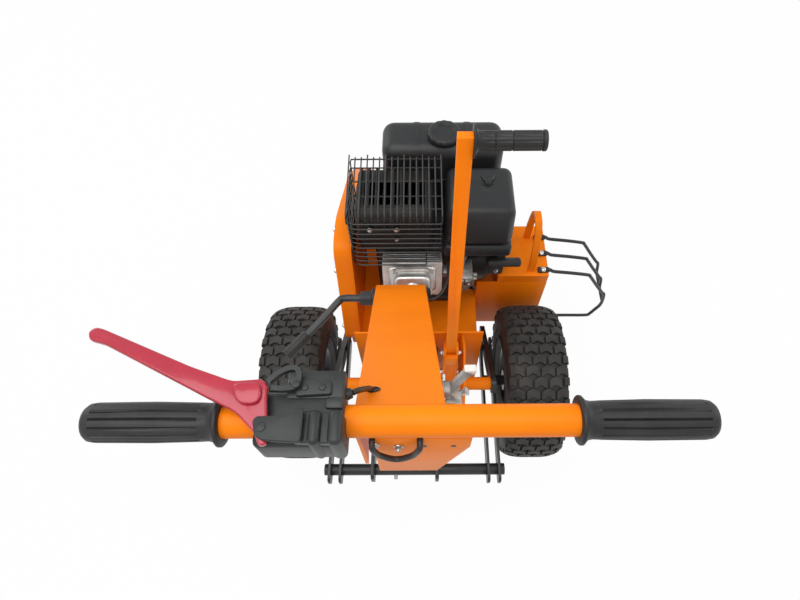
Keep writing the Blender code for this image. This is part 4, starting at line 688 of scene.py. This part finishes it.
shape = bmesh.new()
step = (cageRight - cageLeft) / (cageTopWires - 1)
for number in range(cageTopWires):
    x = cageLeft + step * number
    reach = cageFront - (0.006 if number % 3 else 0.0)
    corner = cageRear + 0.014
    route = [(x, reach, cageTopAt(reach)), (x, 0.26, cageTopAt(0.26)), (x, 0.21, cageTopAt(0.21)),
        (x, corner, cageTop), (x, cageRear + 0.004, cageTop - 0.004), (x, cageRear, cageTop - 0.014),
        (x, cageRear, cageTop - 0.022)]
    addTube(shape, route, cageWire, 6)
fall = (cageTop - 0.02 - cageBottom) / (cageBackWires - 1)
for number in range(cageBackWires):
    z = cageBottom + fall * number
    stop = cageRight - (0.03 if number < 3 else 0.0)
    out = cageRear - cageWire * 1.8
    route = [(stop, out, z), (0.0, out, z), (-0.06, out, z), (cageLeft + 0.016, out, z),
        (cageLeft + 0.004, out + 0.004, z), (cageLeft - 0.001, out + 0.016, z), (cageLeft - 0.001, 0.21, z),
        (cageLeft - 0.001, 0.26, z), (cageLeft - 0.001, cageFront - 0.01, z)]
    addTube(shape, route, cageWire, 6)
for x, low in ((cageLeft + 0.03, cageBottom), (0.03, cageBottom), (cageRight - 0.002, 0.545)):
    addTube(shape, [(x, cageRear, low - 0.001), (x, cageRear, cageTop - 0.018)], cageWire, 6)
for y in (0.178, 0.21, 0.246, 0.28, 0.302):
    z = cageTopAt(y)
    addTube(shape, [(cageLeft + 0.001, y, cageBottom), (cageLeft + 0.001, y, z - 0.012),
        (cageLeft + 0.004, y, z - 0.003), (cageLeft + 0.014, y, z - 0.003), (cageRight, y, z - 0.003)],
        cageWire, 6)
finishPiece(shape, "mufflerCage", "blackPaint", ["muffler_cage"])

# Ribbed shield and outlet on the muffler under the cage
mufflerTop = 0.634
shieldRibs, shieldLeft, shieldPitch = 9, -0.108, 0.0172
shape = bmesh.new()
for number in range(shieldRibs):
    x = shieldLeft + shieldPitch * number
    addTube(shape, curveThrough([(x, 0.302, mufflerTop + 0.002), (x, 0.262, mufflerTop + 0.002),
        (x, 0.215, mufflerTop + 0.001), (x, 0.192, mufflerTop - 0.006), (x, 0.1795, mufflerTop - 0.024),
        (x, 0.178, mufflerTop - 0.05)], 3), 0.0036, 8)
addBlock(shape, (-0.116, 0.196, 0.59), (0.04, 0.307, mufflerTop), 0.01, 4)
addBlock(shape, (-0.085, 0.171, 0.568), (-0.035, 0.181, 0.592), 0.003)
finishPiece(shape, "mufflerRibs", "mufflerBlack")
shape = bmesh.new()
for x in (-0.088, -0.032):
    addBolt(shape, (x, 0.1725, 0.594), (0, -1, 0.2), 0.0045)
addBolt(shape, (-0.034, 0.1765, 0.556), (0, -1, 0), 0.004)
finishPiece(shape, "mufflerBolts", "zincPlate")
print("muffler made")


# Fuel tank: two pressed halves with a seam, and two raised bands over the top
tankLeft = -0.064
tankRight = 0.195
tankRear = 0.312
tankFront = 0.41
tankBottom = 0.51
tankTop = 0.6795
tankCorner = 0.026
tankSeam = 0.592
shape = bmesh.new()
addBlock(shape, (tankLeft, tankRear, tankBottom), (tankRight, tankFront, tankTop), tankCorner, 6)
finishPiece(shape, "fuelTank", "engineBlack", ["fuel_tank"], crease=60.0)
shape = bmesh.new()
addRoundPlate(shape, [(tankLeft - 0.0025, tankRear - 0.0025), (tankRight + 0.0025, tankRear - 0.0025),
    (tankRight + 0.0025, tankFront + 0.0025), (tankLeft - 0.0025, tankFront + 0.0025)], 0.04, 8,
    tankSeam - 0.0016, tankSeam + 0.0016, "Z", 0.0008)
for x in (0.01, 0.118):
    addStrap(shape, curveThrough([(x, tankFront - 0.004, tankTop - 0.012),
        (x, tankFront - 0.014, tankTop - 0.003), (x, tankFront - 0.03, tankTop + 0.0002),
        (x, tankRear + 0.035, tankTop + 0.0002), (x, tankRear + 0.014, tankTop - 0.003),
        (x, tankRear + 0.004, tankTop - 0.012), (x, tankRear - 0.0005, tankTop - 0.03),
        (x, tankRear - 0.0005, tankSeam + 0.002)], 4), 0.013, 0.0028, (1, 0, 0))
finishPiece(shape, "tankSeamAndBands", "engineBlack", crease=40.0)

# Scalloped cap
capX = 0.068
capY = 0.35
capRadius = 0.0355
capHeight = 0.017
capScallops = 14
capDip = 0.0016
shape = bmesh.new()
addLathe(shape, [(0.0, capHeight - 0.003), (capRadius - 0.016, capHeight - 0.003),
    (capRadius - 0.013, capHeight), (capRadius - 0.006, capHeight), (capRadius - 0.002, capHeight - 0.002),
    (capRadius, capHeight - 0.006), (capRadius, 0.006), (capRadius - 0.0015, 0.003),
    (capRadius - 0.006, 0.0003), (0.0, 0.0003)], (capX, capY, 0.68), (0, 0, 1), 96)
for vert in shape.verts:
    out = Vector((vert.co.x - capX, vert.co.y - capY))
    if out.length > capRadius - 0.004:
        swing = abs(math.sin(math.atan2(out.y, out.x) * capScallops / 2))
        pull = out.normalized() * capDip * (1 - swing)
        vert.co.x -= pull.x
        vert.co.y -= pull.y
finishPiece(shape, "fuelCap", "engineBlack", ["fuel_cap"], body="fuel_cap", crease=40.0)


# Air cleaner: cover, boss and wing nut
cleanerLeft = 0.0685
cleanerRight = 0.2135
cleanerRear = 0.1615
cleanerFront = 0.2995
cleanerSplit = 0.545
cleanerTop = 0.6545
cleanerKnobX = 0.156
cleanerKnobY = 0.243
shape = bmesh.new()
addBlock(shape, (cleanerLeft, cleanerRear, cleanerSplit), (cleanerRight, cleanerFront, cleanerTop), 0.019, 6)
for vert in shape.verts:  # the cover draws in a little toward its top
    rise = (vert.co.z - cleanerSplit) / (cleanerTop - cleanerSplit)
    middleX = (cleanerLeft + cleanerRight) / 2
    middleY = (cleanerRear + cleanerFront) / 2
    vert.co.x = middleX + (vert.co.x - middleX) * (1 - 0.05 * rise)
    vert.co.y = middleY + (vert.co.y - middleY) * (1 - 0.05 * rise)
addLathe(shape, [(0.0, 0.0026), (0.019, 0.0026), (0.0215, 0.0015), (0.0235, -0.002), (0.0, -0.002)],
    (cleanerKnobX, cleanerKnobY, cleanerTop - 0.0021), (0, 0, 1), 48)
finishPiece(shape, "airCleanerCover", "engineBlack", ["air_cleaner_cover"], crease=60.0)
shape = bmesh.new()
addLathe(shape, [(0.0, 0.0095), (0.005, 0.0095), (0.0068, 0.008), (0.0085, 0.0003), (0.0, 0.0003)],
    (cleanerKnobX, cleanerKnobY, 0.655), (0, 0, 1), 32)
for side in (-1, 1):
    addStrap(shape, curveThrough([(cleanerKnobX + side * 0.003, cleanerKnobY - 0.001, 0.66),
        (cleanerKnobX + side * 0.009, cleanerKnobY + 0.003, 0.663),
        (cleanerKnobX + side * 0.0135, cleanerKnobY + 0.009, 0.6672)], 4), 0.0052, 0.0042, (0, 0, 1))
finishPiece(shape, "airCleanerWingNut", "engineBlack", ["air_cleaner_wing_nut"], body="wing_nut")
print("tank and air cleaner made")


# Cylinder with its cooling fins, and the valve cover on its end; both lean up about the crank
cylinderTilt = Matrix.Rotation(math.radians(-25.0), 3, "X")
finCount, finPitch, finThickness = 7, 0.0092, 0.0026
crankMiddle = Vector((0.0, 0.3, 0.393))
shape = bmesh.new()
addBlock(shape, (-0.058, 0.129, 0.345), (0.054, 0.22, 0.411), 0.01, 3)
for number in range(finCount):
    y = 0.1335 + finPitch * number
    addBlock(shape, (-0.0695, y, 0.334), (0.0655, y + finThickness, 0.421), 0.0009, 1)
bmesh.ops.rotate(shape, cent=crankMiddle, matrix=cylinderTilt, verts=shape.verts)
finishPiece(shape, "finnedCylinder", "castAluminium", ["cylinder"])
coverFace, coverBack = 0.0945, 0.1275
shape = bmesh.new()
addRoundPlate(shape, [(-0.049, 0.344), (0.045, 0.344), (0.045, 0.413), (-0.049, 0.413)], 0.02, 6,
    coverBack - 0.007, coverBack, "Y", 0.0012)
addRoundPlate(shape, [(-0.043, 0.35), (0.039, 0.35), (0.039, 0.407), (-0.043, 0.407)], 0.018, 6, coverFace,
    coverBack - 0.006, "Y", 0.006, 4)
addLathe(shape, [(0.0, 0.003), (0.012, 0.003), (0.014, 0.0012), (0.015, -0.001), (0.0, -0.001)],
    (-0.002, coverFace, 0.3785), (0, -1, 0), 40)
bmesh.ops.rotate(shape, cent=crankMiddle, matrix=cylinderTilt, verts=shape.verts)
finishPiece(shape, "valveCover", "castAluminium", ["valve_cover"])
shape = bmesh.new()
for x, z in ((-0.0435, 0.3495), (0.0395, 0.3495), (-0.0435, 0.4075), (0.0395, 0.4075)):
    addBolt(shape, (x, coverBack - 0.0075, z), (0, -1, 0), 0.0048)
addBolt(shape, (-0.002, coverFace - 0.003, 0.3785), (0, -1, 0), 0.0048)
bmesh.ops.rotate(shape, cent=crankMiddle, matrix=cylinderTilt, verts=shape.verts)
finishPiece(shape, "valveCoverBolts", "zincPlate")


# Carburettor: body, bowl, throat and drain plug under the air cleaner
shape = bmesh.new()
addBlock(shape, (0.092, 0.1305, 0.434), (0.134, 0.186, 0.4695), 0.004, 2)
addBlock(shape, (0.099, 0.1265, 0.448), (0.128, 0.132, 0.464), 0.002, 2)
addLathe(shape, [(0.0, 0.0), (0.0125, 0.0), (0.0155, 0.0026), (0.0168, 0.007), (0.0168, 0.0215),
    (0.0188, 0.0224), (0.0188, 0.0268), (0.0, 0.0268)], (0.115, 0.148, 0.4085), (0, 0, 1), 40)
addLathe(shape, [(0.0, 0.0), (0.0132, 0.0), (0.0138, 0.05), (0.017, 0.0505), (0.017, 0.059), (0.0, 0.059)],
    (0.104, 0.172, 0.4495), (0, 0, 1), 40)
addBlock(shape, (0.0665, 0.151, 0.441), (0.094, 0.174, 0.461), 0.002)
addRod(shape, (0.086, 0.134, 0.464), (0.142, 0.134, 0.464), 0.0034, 16)
addBlock(shape, (0.133, 0.129, 0.443), (0.1365, 0.142, 0.47), 0.001, 2)
addRod(shape, (0.133, 0.152, 0.452), (0.145, 0.152, 0.452), 0.0052, 24, bevel=0.0008)
finishPiece(shape, "carburettorBody", "carburettorGrey", ["carburettor"])
shape = bmesh.new()
addRod(shape, (0.115, 0.148, 0.4085), (0.115, 0.148, 0.4025), 0.005, 6, bevel=0.0006)
for x in (0.103, 0.124):
    addBolt(shape, (x, 0.1262, 0.456), (0, -1, 0), 0.003, washer=False)
addBolt(shape, (0.099, 0.1345, 0.469), (0, 0, 1), 0.0034, washer=False)
finishPiece(shape, "carburettorScrews", "zincPlate")
shape = bmesh.new()
addTube(shape, curveThrough([(0.131, 0.14, 0.43), (0.14, 0.134, 0.424), (0.144, 0.142, 0.404),
    (0.136, 0.16, 0.38), (0.124, 0.184, 0.362), (0.1215, 0.2, 0.352)], 6), 0.003, 10)
finishPiece(shape, "fuelHose", "cableBlack")
print("cylinder and carburettor made")


# Clutch lever: a flat red bar with a raised pad on its head and a small tip past the pivot
leverLow = 1.0172
leverHigh = 1.0245
leverPadTop = 1.029
leverOutline = [(-0.3095, -0.2785), (-0.304, -0.273), (-0.2955, -0.275), (-0.2, -0.316), (-0.158, -0.331),
    (-0.13, -0.329), (-0.124, -0.335), (-0.1225, -0.353), (-0.12, -0.368), (-0.118, -0.3915),
    (-0.125, -0.3925), (-0.13, -0.381), (-0.151, -0.361), (-0.186, -0.344), (-0.2905, -0.2915),
    (-0.306, -0.2875)]
shape = bmesh.new()
addRoundPlate(shape, leverOutline, 0.006, 4, leverLow, leverHigh, "Z", 0.0022, 4)
addRoundPlate(shape, [(-0.158, -0.3345), (-0.1285, -0.3335), (-0.127, -0.355), (-0.149, -0.3555)], 0.01, 6,
    leverHigh - 0.001, leverPadTop, "Z", 0.0024, 4)
finishPiece(shape, "clutchLever", "redPaint", ["clutch_lever"], body="clutch_lever", crease=32.0)

# Clutch bracket: a clamp casting round the bar, with an ear plate over the lever's head
shape = bmesh.new()
addBlock(shape, (-0.1355, -0.39, 0.9665), (-0.0525, -0.337, 1.013), 0.0062, 3)
addBlock(shape, (-0.108, -0.346, 0.996), (-0.0525, -0.3165, 1.015), 0.003, 2)
addRoundPlate(shape, [(-0.099, -0.328), (-0.065, -0.329), (-0.064, -0.343), (-0.098, -0.345)], 0.003, 3,
    1.013, 1.02, "Z", 0.0016, 3)
addRoundPlate(shape, [(-0.099, -0.359), (-0.053, -0.362), (-0.051, -0.39), (-0.097, -0.389)], 0.005, 3,
    1.011, 1.0215, "Z", 0.0016, 3)
addBlock(shape, (-0.099, -0.388, 1.015), (-0.0872, -0.364, 1.0262), 0.0016, 2)
earPlate = [(-0.132, -0.371), (-0.129, -0.367), (-0.1, -0.366), (-0.095, -0.36), (-0.0866, -0.359),
    (-0.0862, -0.3915), (-0.121, -0.389), (-0.128, -0.385)]
addRoundPlate(shape, earPlate, 0.005, 4, 1.025, 1.0292, "Z", 0.0014, 3)
for left, right in ((-0.0826, -0.0706), (-0.0644, -0.0505)):
    addBlock(shape, (left, -0.3925, 0.972), (right, -0.36, 1.0285), 0.0056, 4)
addBlock(shape, (-0.07, -0.356, 1.008), (-0.0525, -0.344, 1.017), 0.003, 2)
finishPiece(shape, "clutchBracket", "bracketBlack", ["clutch_bracket"], crease=36.0)
shape = bmesh.new()
addLathe(shape, [(0.0024, 0.0), (0.0058, 0.0), (0.006, 0.0012), (0.005, 0.006), (0.0024, 0.006)],
    (-0.053, -0.336, 0.999), (1, 0.35, -0.12), 24)
for x, y in ((-0.0895, -0.3365), (-0.073, -0.3365)):
    addRod(shape, (x, y, 1.0195), (x, y, 1.0216), 0.0032, 20, bevel=0.0006)
addRod(shape, (-0.1235, -0.377, 1.0288), (-0.1235, -0.377, 1.0302), 0.0046, 24, bevel=0.0005)
finishPiece(shape, "clutchBracketFittings", "bracketBlack")
shape = bmesh.new()
for x in (-0.0828, -0.0603):
    addRod(shape, (x, -0.38, 0.97), (x, -0.38, 0.964), 0.0042, 6, bevel=0.0006)
finishPiece(shape, "clutchBracketBolts", "zincPlate")

# Lock trigger: a flat black hook in front of the lever's head
shape = bmesh.new()
hook = curveThrough([(-0.1235, -0.332, 1.0232), (-0.115, -0.324, 1.0232), (-0.105, -0.319, 1.0232),
    (-0.0975, -0.32, 1.0232), (-0.095, -0.329, 1.0232), (-0.098, -0.3375, 1.0232), (-0.109, -0.3395, 1.0232),
    (-0.12, -0.339, 1.0232)], 5)
addStrap(shape, hook, 0.006, 0.005, (0, 0, 1))
addRod(shape, (-0.099, -0.33, 1.0205), (-0.099, -0.33, 1.0258), 0.0055, 24, bevel=0.0008)
addRod(shape, (-0.097, -0.3355, 1.0166), (-0.097, -0.3355, 1.0276), 0.004, 24, bevel=0.0008)
finishPiece(shape, "lockTrigger", "bracketBlack", ["lock_trigger"], body="lock_trigger",
    crease=40.0)

# Clutch cable: from the bracket into an oval hole in the column
cableRun = curveThrough([(-0.047, -0.3342, 0.9985), (-0.044, -0.332, 0.997), (-0.041, -0.328, 0.99),
    (-0.0375, -0.322, 0.977), (-0.0345, -0.3165, 0.964), (-0.0325, -0.312, 0.949)], 6)
shape = bmesh.new()
addTube(shape, cableRun, 0.003, 12)
finishPiece(shape, "clutchCable", "cableBlack", ["clutch_cable"])
shape = bmesh.new()
slopeTurn = Matrix.Rotation(math.atan2(-0.313, 0.3245), 3, "X")
holeSpot = Vector((-0.0325, -0.313, 0.951))
ring = [(0.0066, 0.0), (0.0086, 0.0), (0.009, 0.0008), (0.0082, 0.0016), (0.0066, 0.0016)]
addLathe(shape, ring, (0, 0, 0), (0, 0, 1), 32)
bmesh.ops.scale(shape, vec=(1.0, 0.62, 1.0), verts=shape.verts)
addRod(shape, (0, 0, -0.0004), (0, 0, 0.0006), 0.007, 32)
bmesh.ops.rotate(shape, cent=(0, 0, 0), matrix=slopeTurn, verts=shape.verts)
bmesh.ops.translate(shape, vec=holeSpot, verts=shape.verts)
finishPiece(shape, "columnGrommet", "cableBlack")

# Cable loop behind the rear panel, its bolts, and dark discs painted as the shade inside its two empty holes
shape = bmesh.new()
panelFace = -0.3743
loopOut = panelFace - 0.0095
addTube(shape, curveThrough([(-0.0285, panelFace + 0.003, 0.976), (-0.0285, panelFace - 0.0045, 0.975),
    (-0.0275, loopOut + 0.001, 0.97), (-0.021, loopOut, 0.952), (-0.006, loopOut, 0.938),
    (0.01, loopOut, 0.951), (0.0175, loopOut + 0.001, 0.97), (0.0185, panelFace - 0.0045, 0.975),
    (0.0185, panelFace + 0.003, 0.976)], 5), 0.0032, 12)
finishPiece(shape, "throttleCable", "cableBlack", ["throttle_cable"])
shape = bmesh.new()
addBolt(shape, (-0.0035, panelFace, 0.9535), (0, -1, 0), 0.0038)
addBolt(shape, (-0.0265, panelFace, 0.96), (0, -1, 0), 0.0034)
finishPiece(shape, "rearPanelBolts", "zincPlate")
# dark discs on the panel face: painted shade standing in for the inside of the two empty holes
shape = bmesh.new()
for x in (0.0225, 0.0525):
    addRod(shape, (x, panelFace + 0.001, 0.951), (x, panelFace - 0.0003, 0.951), 0.0028, 32)
finishPiece(shape, "rearPanelHoleShade", "cableBlack")
print("clutch controls made")


# Throttle: an inclined zinc plate beside the column, its bolt, and a straight lever with a block tip
shape = bmesh.new()
plateMiddle = Vector((0.056, -0.297, 0.897))
plateHalf = Vector((0.0095, 0.029, 0.0013))
addBlock(shape, plateMiddle - plateHalf, plateMiddle + plateHalf, 0.0006, 2, slopeTurn)
addBlock(shape, (0.044, -0.312, 0.884), (0.0478, -0.279, 0.911), 0.0006, 1)
up = slopeTurn @ Vector((0, 0, 1))
lugMiddle = plateMiddle + Vector((0.0135, 0.0, 0.0))
addBlock(shape, lugMiddle - Vector((0.006, 0.005, 0.0013)), lugMiddle + Vector((0.006, 0.005, 0.0013)),
    0.0006, 2, slopeTurn)
addBolt(shape, lugMiddle + Vector((0.0015, 0.0, 0.0)) + up * 0.0012, up, 0.0038)
finishPiece(shape, "throttlePlate", "zincPlate")
shape = bmesh.new()
pivot = Vector((0.0441, -0.298, 0.905))
addLathe(shape, [(0.0, 0.01), (0.01, 0.01), (0.012, 0.0085), (0.0125, 0.006), (0.0125, 0.001), (0.0, 0.001)],
    pivot, (1, 0, 0), 36)
addStrap(shape, [pivot + Vector((0.007, 0.0, 0.002)), pivot + Vector((0.017, 0.008, 0.01)),
    pivot + Vector((0.03, 0.0185, 0.016))], 0.009, 0.006, (0, 0.6, 0.8))
finishPiece(shape, "throttleLever", "carburettorGrey", ["throttle_lever"], body="throttle_lever",
    crease=40.0)
shape = bmesh.new()
tip = pivot + Vector((0.032, 0.02, 0.0168))
addBlock(shape, tip - Vector((0.007, 0.0045, 0.0045)), tip + Vector((0.007, 0.0045, 0.0045)), 0.0014, 3)
finishPiece(shape, "throttleTip", "nylonWhite", body="throttle_lever")
print("throttle made")


# Hoops on the right housing: a flat bent lifting hoop and three round guard hoops
shape = bmesh.new()
hoopX = 0.29
hoopRoute = curveThrough([(hoopX, 0.2215, 0.3602), (hoopX, 0.2245, 0.415), (hoopX - 0.001, 0.241, 0.48),
    (hoopX - 0.002, 0.256, 0.505), (hoopX - 0.003, 0.272, 0.511), (hoopX - 0.002, 0.289, 0.504),
    (hoopX - 0.001, 0.306, 0.478), (hoopX, 0.3215, 0.415), (hoopX, 0.3245, 0.3602)], 6)
addStrap(shape, hoopRoute, 0.016, 0.0065, (1, 0, 0))
finishPiece(shape, "liftHoop", "orangePaint", ["lift_hoop"], crease=40.0)
guardWire = 0.0043
guardRear = 0.222
guardStep = 0.05
guardSide = 0.3343
guardFoot = 0.126
guardTieX = 0.511
guardTieZ = 0.205
guardRoute = [(0.3083, 0.364), (0.333, 0.364), (0.34, 0.3615), (0.35, 0.355), (0.395, 0.3475),
    (0.438, 0.3385), (0.446, 0.3315), (0.471, 0.292), (0.497, 0.2525), (0.506, 0.2405)]
guardClosing = [(0.511, 0.205), (0.511, 0.1885), (0.509, 0.1765), (0.502, 0.156), (0.495, 0.136),
    (0.485, 0.126), (0.42, 0.126), (0.3343, 0.126)]
guardRows = [guardRear + guardStep * number for number in range(3)]
for number, y in enumerate(guardRows):
    route = [(x, y, z) for x, z in guardRoute]
    if number == 0:
        route += [(x, y, z) for x, z in guardClosing]
    else:  # ties back to the hoop behind it
        x, z = guardTieX, guardTieZ
        tieEnd = y - guardStep + guardWire - 0.001
        route += [(x, y, z + 0.012), (x, y - 0.004, z + 0.003), (x, y - 0.013, z), (x, tieEnd, z)]
    shape = bmesh.new()
    addTube(shape, curveThrough(route, 4), guardWire, 14)
    finishPiece(shape, "guardHoop%d" % (number + 1), "blackPaint", ["guard_hoop_%d" % (number + 1)])
shape = bmesh.new()
addBolt(shape, (guardSide + 0.0026, guardRear, guardFoot + 0.0135), (1, 0, 0), 0.0048)
for y in guardRows:
    addLathe(shape, [(0.0, 0.0046), (0.004, 0.004), (0.0066, 0.0022), (0.0078, 0.0002), (0.0078, -0.0006),
        (0.0, -0.0006)], (0.3205, y, 0.3658), (0, 0, 1), 24)
for y in (0.232, 0.29, 0.345):
    addBolt(shape, (0.3335, y, 0.25), (1, 0, 0), 0.006)
finishPiece(shape, "rightHousingBolts", "zincPlate")
shape = bmesh.new()
y, z = guardRear, guardFoot
addRoundPlate(shape, [(y - 0.009, z - 0.0055), (y + 0.009, z - 0.0055), (y + 0.009, z + 0.021),
    (y - 0.009, z + 0.021)], 0.006, 4, guardSide - 0.0002, guardSide + 0.003, "X", 0.0006)
for y in guardRows:
    addRoundPlate(shape, [(0.307, y - 0.0085), (0.338, y - 0.007), (0.338, y + 0.007), (0.307, y + 0.0085)],
        0.006, 4, 0.3602, 0.3656, "Z", 0.0012)
finishPiece(shape, "guardHoopTabs", "blackPaint")
print("hoops made")


# Small block on the rear face of the depth lever
shape = bmesh.new()
addBlock(shape, (0.0665, -0.0555, 0.413), (0.0935, -0.045, 0.45), 0.0016, 2)
finishPiece(shape, "depthLeverBlock", "orangePaint", body="depth_lever")


# Bolts on the sheet metal: belt guard, lever ears, wheel arms and rear tube
shape = bmesh.new()
for y, z in ((0.108, 0.29), (0.158, 0.465), (0.232, 0.52), (0.452, 0.422), (0.584, 0.31), (0.594, 0.136),
        (0.166, 0.14)):
    addBolt(shape, (-0.172, y, z), (-1, 0, 0), 0.0062)
finishPiece(shape, "beltGuardBolts", "zincPlate")
shape = bmesh.new()
for side in (-1, 1):
    addBolt(shape, (0.08 + side * 0.0155, -0.036, 0.44), (side, 0, 0), 0.0052)
    addBolt(shape, (0.08 + side * 0.0155, -0.0445, 0.356), (side, 0, 0), 0.0052)
finishPiece(shape, "leverEarBolts", "zincPlate", body="depth_lever")
shape = bmesh.new()
for side in (-1, 1):
    addBolt(shape, (side * 0.1992, 0.088, 0.2), (side, 0, 0), 0.0062)
finishPiece(shape, "wheelArmBolts", "zincPlate", body="wheel_arms")
shape = bmesh.new()
addRod(shape, (-0.043, -0.236, 0.2), (-0.043, -0.247, 0.198), 0.004, 16, bevel=0.0008)
finishPiece(shape, "rearTubePlug", "carburettorGrey", body="wheel_arms")


# Recoil starter: ribs and vents on the housing, screws round its rim
shape = bmesh.new()
crankLine = Vector((0.1183, 0.3, 0.393))
shroudScrewCircle, shroudScrewTurn = 0.108, 0.8
for angle in circlePoints(12):
    turn = Matrix.Rotation(angle, 3, "X")
    addBlock(shape, crankLine + Vector((0.069, -0.003, 0.052)), crankLine + Vector((0.0765, 0.003, 0.082)),
        0.0014, 2, turn, crankLine)
addLathe(shape, [(0.0, 0.084), (0.022, 0.084), (0.026, 0.0825), (0.03, 0.0815), (0.0, 0.0815)], crankLine,
    (1, 0, 0), 40)
for angle in circlePoints(4):
    spot = crankLine + Vector((0.004, shroudScrewCircle * math.cos(angle + shroudScrewTurn),
        shroudScrewCircle * math.sin(angle + shroudScrewTurn)))
    addRod(shape, spot - Vector((0.0035, 0, 0)), spot + Vector((0.01, 0, 0)), 0.008, 20, bevel=0.001)
finishPiece(shape, "recoilRibs", "engineBlack")
shape = bmesh.new()
addBolt(shape, (0.2, 0.2062, 0.385), (0, -1, 0), 0.0048)
finishPiece(shape, "shroudBolt", "zincPlate")

# Spark plug lead
shape = bmesh.new()
addTube(shape, curveThrough([(0.03, 0.083, 0.472), (0.036, 0.074, 0.474), (0.05, 0.076, 0.478),
    (0.068, 0.1, 0.478), (0.078, 0.14, 0.478), (0.079, 0.19, 0.476), (0.079, 0.206, 0.47)], 6), 0.0034, 10)
finishPiece(shape, "sparkLead", "cableBlack")
print("bolts and starter made")


# Digging chain: side links and rollers round both wheels, with alternating cutting cups
chainX = 0.08
chainHead = (0.52, 0.205)
chainNose = (0.93, 0.0815)
chainHeadRadius = 0.0562
chainNoseRadius = 0.0502
chainLinks = 62
chainLinkLength = 0.0185
chainCups = 16
chainCupReach = 0.03
chainCupWidth = 0.03
chainCupShifts = (-0.012, 0.0, 0.012, 0.0)
chainPlateInner, chainPlateOuter = 0.0125, 0.0155
chainPlateThickness = 0.0025
chainPlateHalfHeight = 0.0055
chainPinHalf, chainPinRadius = 0.0165, 0.0034


def chainSpot(share):
    # a place on the loop and the way its outside faces: round the head, along, round the nose, back
    head, nose = Vector(chainHead), Vector(chainNose)
    large, small = chainHeadRadius, chainNoseRadius
    line = nose - head
    heading = math.atan2(line.y, line.x)
    lean = math.acos((large - small) / line.length)
    run = math.sqrt(line.length ** 2 - (large - small) ** 2)
    turns = ((head, large, heading + lean, 2 * math.pi - 2 * lean), (nose, small, heading - lean, 2 * lean))
    distance = share * (sum(radius * sweep for _, radius, _, sweep in turns) + 2 * run)
    for middle, radius, start, sweep in turns:
        angle = start + min(distance / radius, sweep)
        spot = middle + radius * Vector((math.cos(angle), math.sin(angle)))
        distance -= radius * sweep
        if distance < run:
            return spot + Vector((-math.sin(angle), math.cos(angle))) * max(distance, 0.0), angle
        distance -= run


shape = bmesh.new()
for number in range(chainLinks):
    spot, angle = chainSpot(number / chainLinks)
    turn = Matrix.Rotation(angle - math.pi / 2, 3, "X")
    centre = Vector((chainX, spot.x, spot.y))
    wide = chainPlateInner if number % 2 else chainPlateOuter
    half = chainLinkLength / 2
    for side in (-1, 1):
        outer, inner = sorted((side * wide, side * (wide - chainPlateThickness)))
        addBlock(shape, centre + Vector((outer, -half, -chainPlateHalfHeight)),
            centre + Vector((inner, half, chainPlateHalfHeight)), 0.0009, 1, turn, centre)
    pin = Vector((chainPinHalf, 0, 0))
    addRod(shape, centre - pin, centre + pin, chainPinRadius, 10)
finishPiece(shape, "diggingChainLinks", "chainSteel", ["digging_chain"])
shape = bmesh.new()
for number in range(chainCups):
    spot, angle = chainSpot((number + 0.002) / chainCups)
    turn = Matrix.Rotation(angle - math.pi / 2, 3, "X")
    shift = chainCupShifts[number % len(chainCupShifts)]
    centre = Vector((chainX, spot.x, spot.y))
    half = chainCupWidth / 2
    addBlock(shape, centre + Vector((shift - half, -0.0035, 0.004)),
        centre + Vector((shift + half, 0.0035, chainCupReach)), 0.0012, 2, turn, centre)
    addBlock(shape, centre + Vector((shift - half, -0.01, chainCupReach - 0.0055)),
        centre + Vector((shift + half, 0.0034, chainCupReach - 0.0012)), 0.001, 1, turn, centre)
finishPiece(shape, "diggingCups", "chainSteel")
print("chain made")
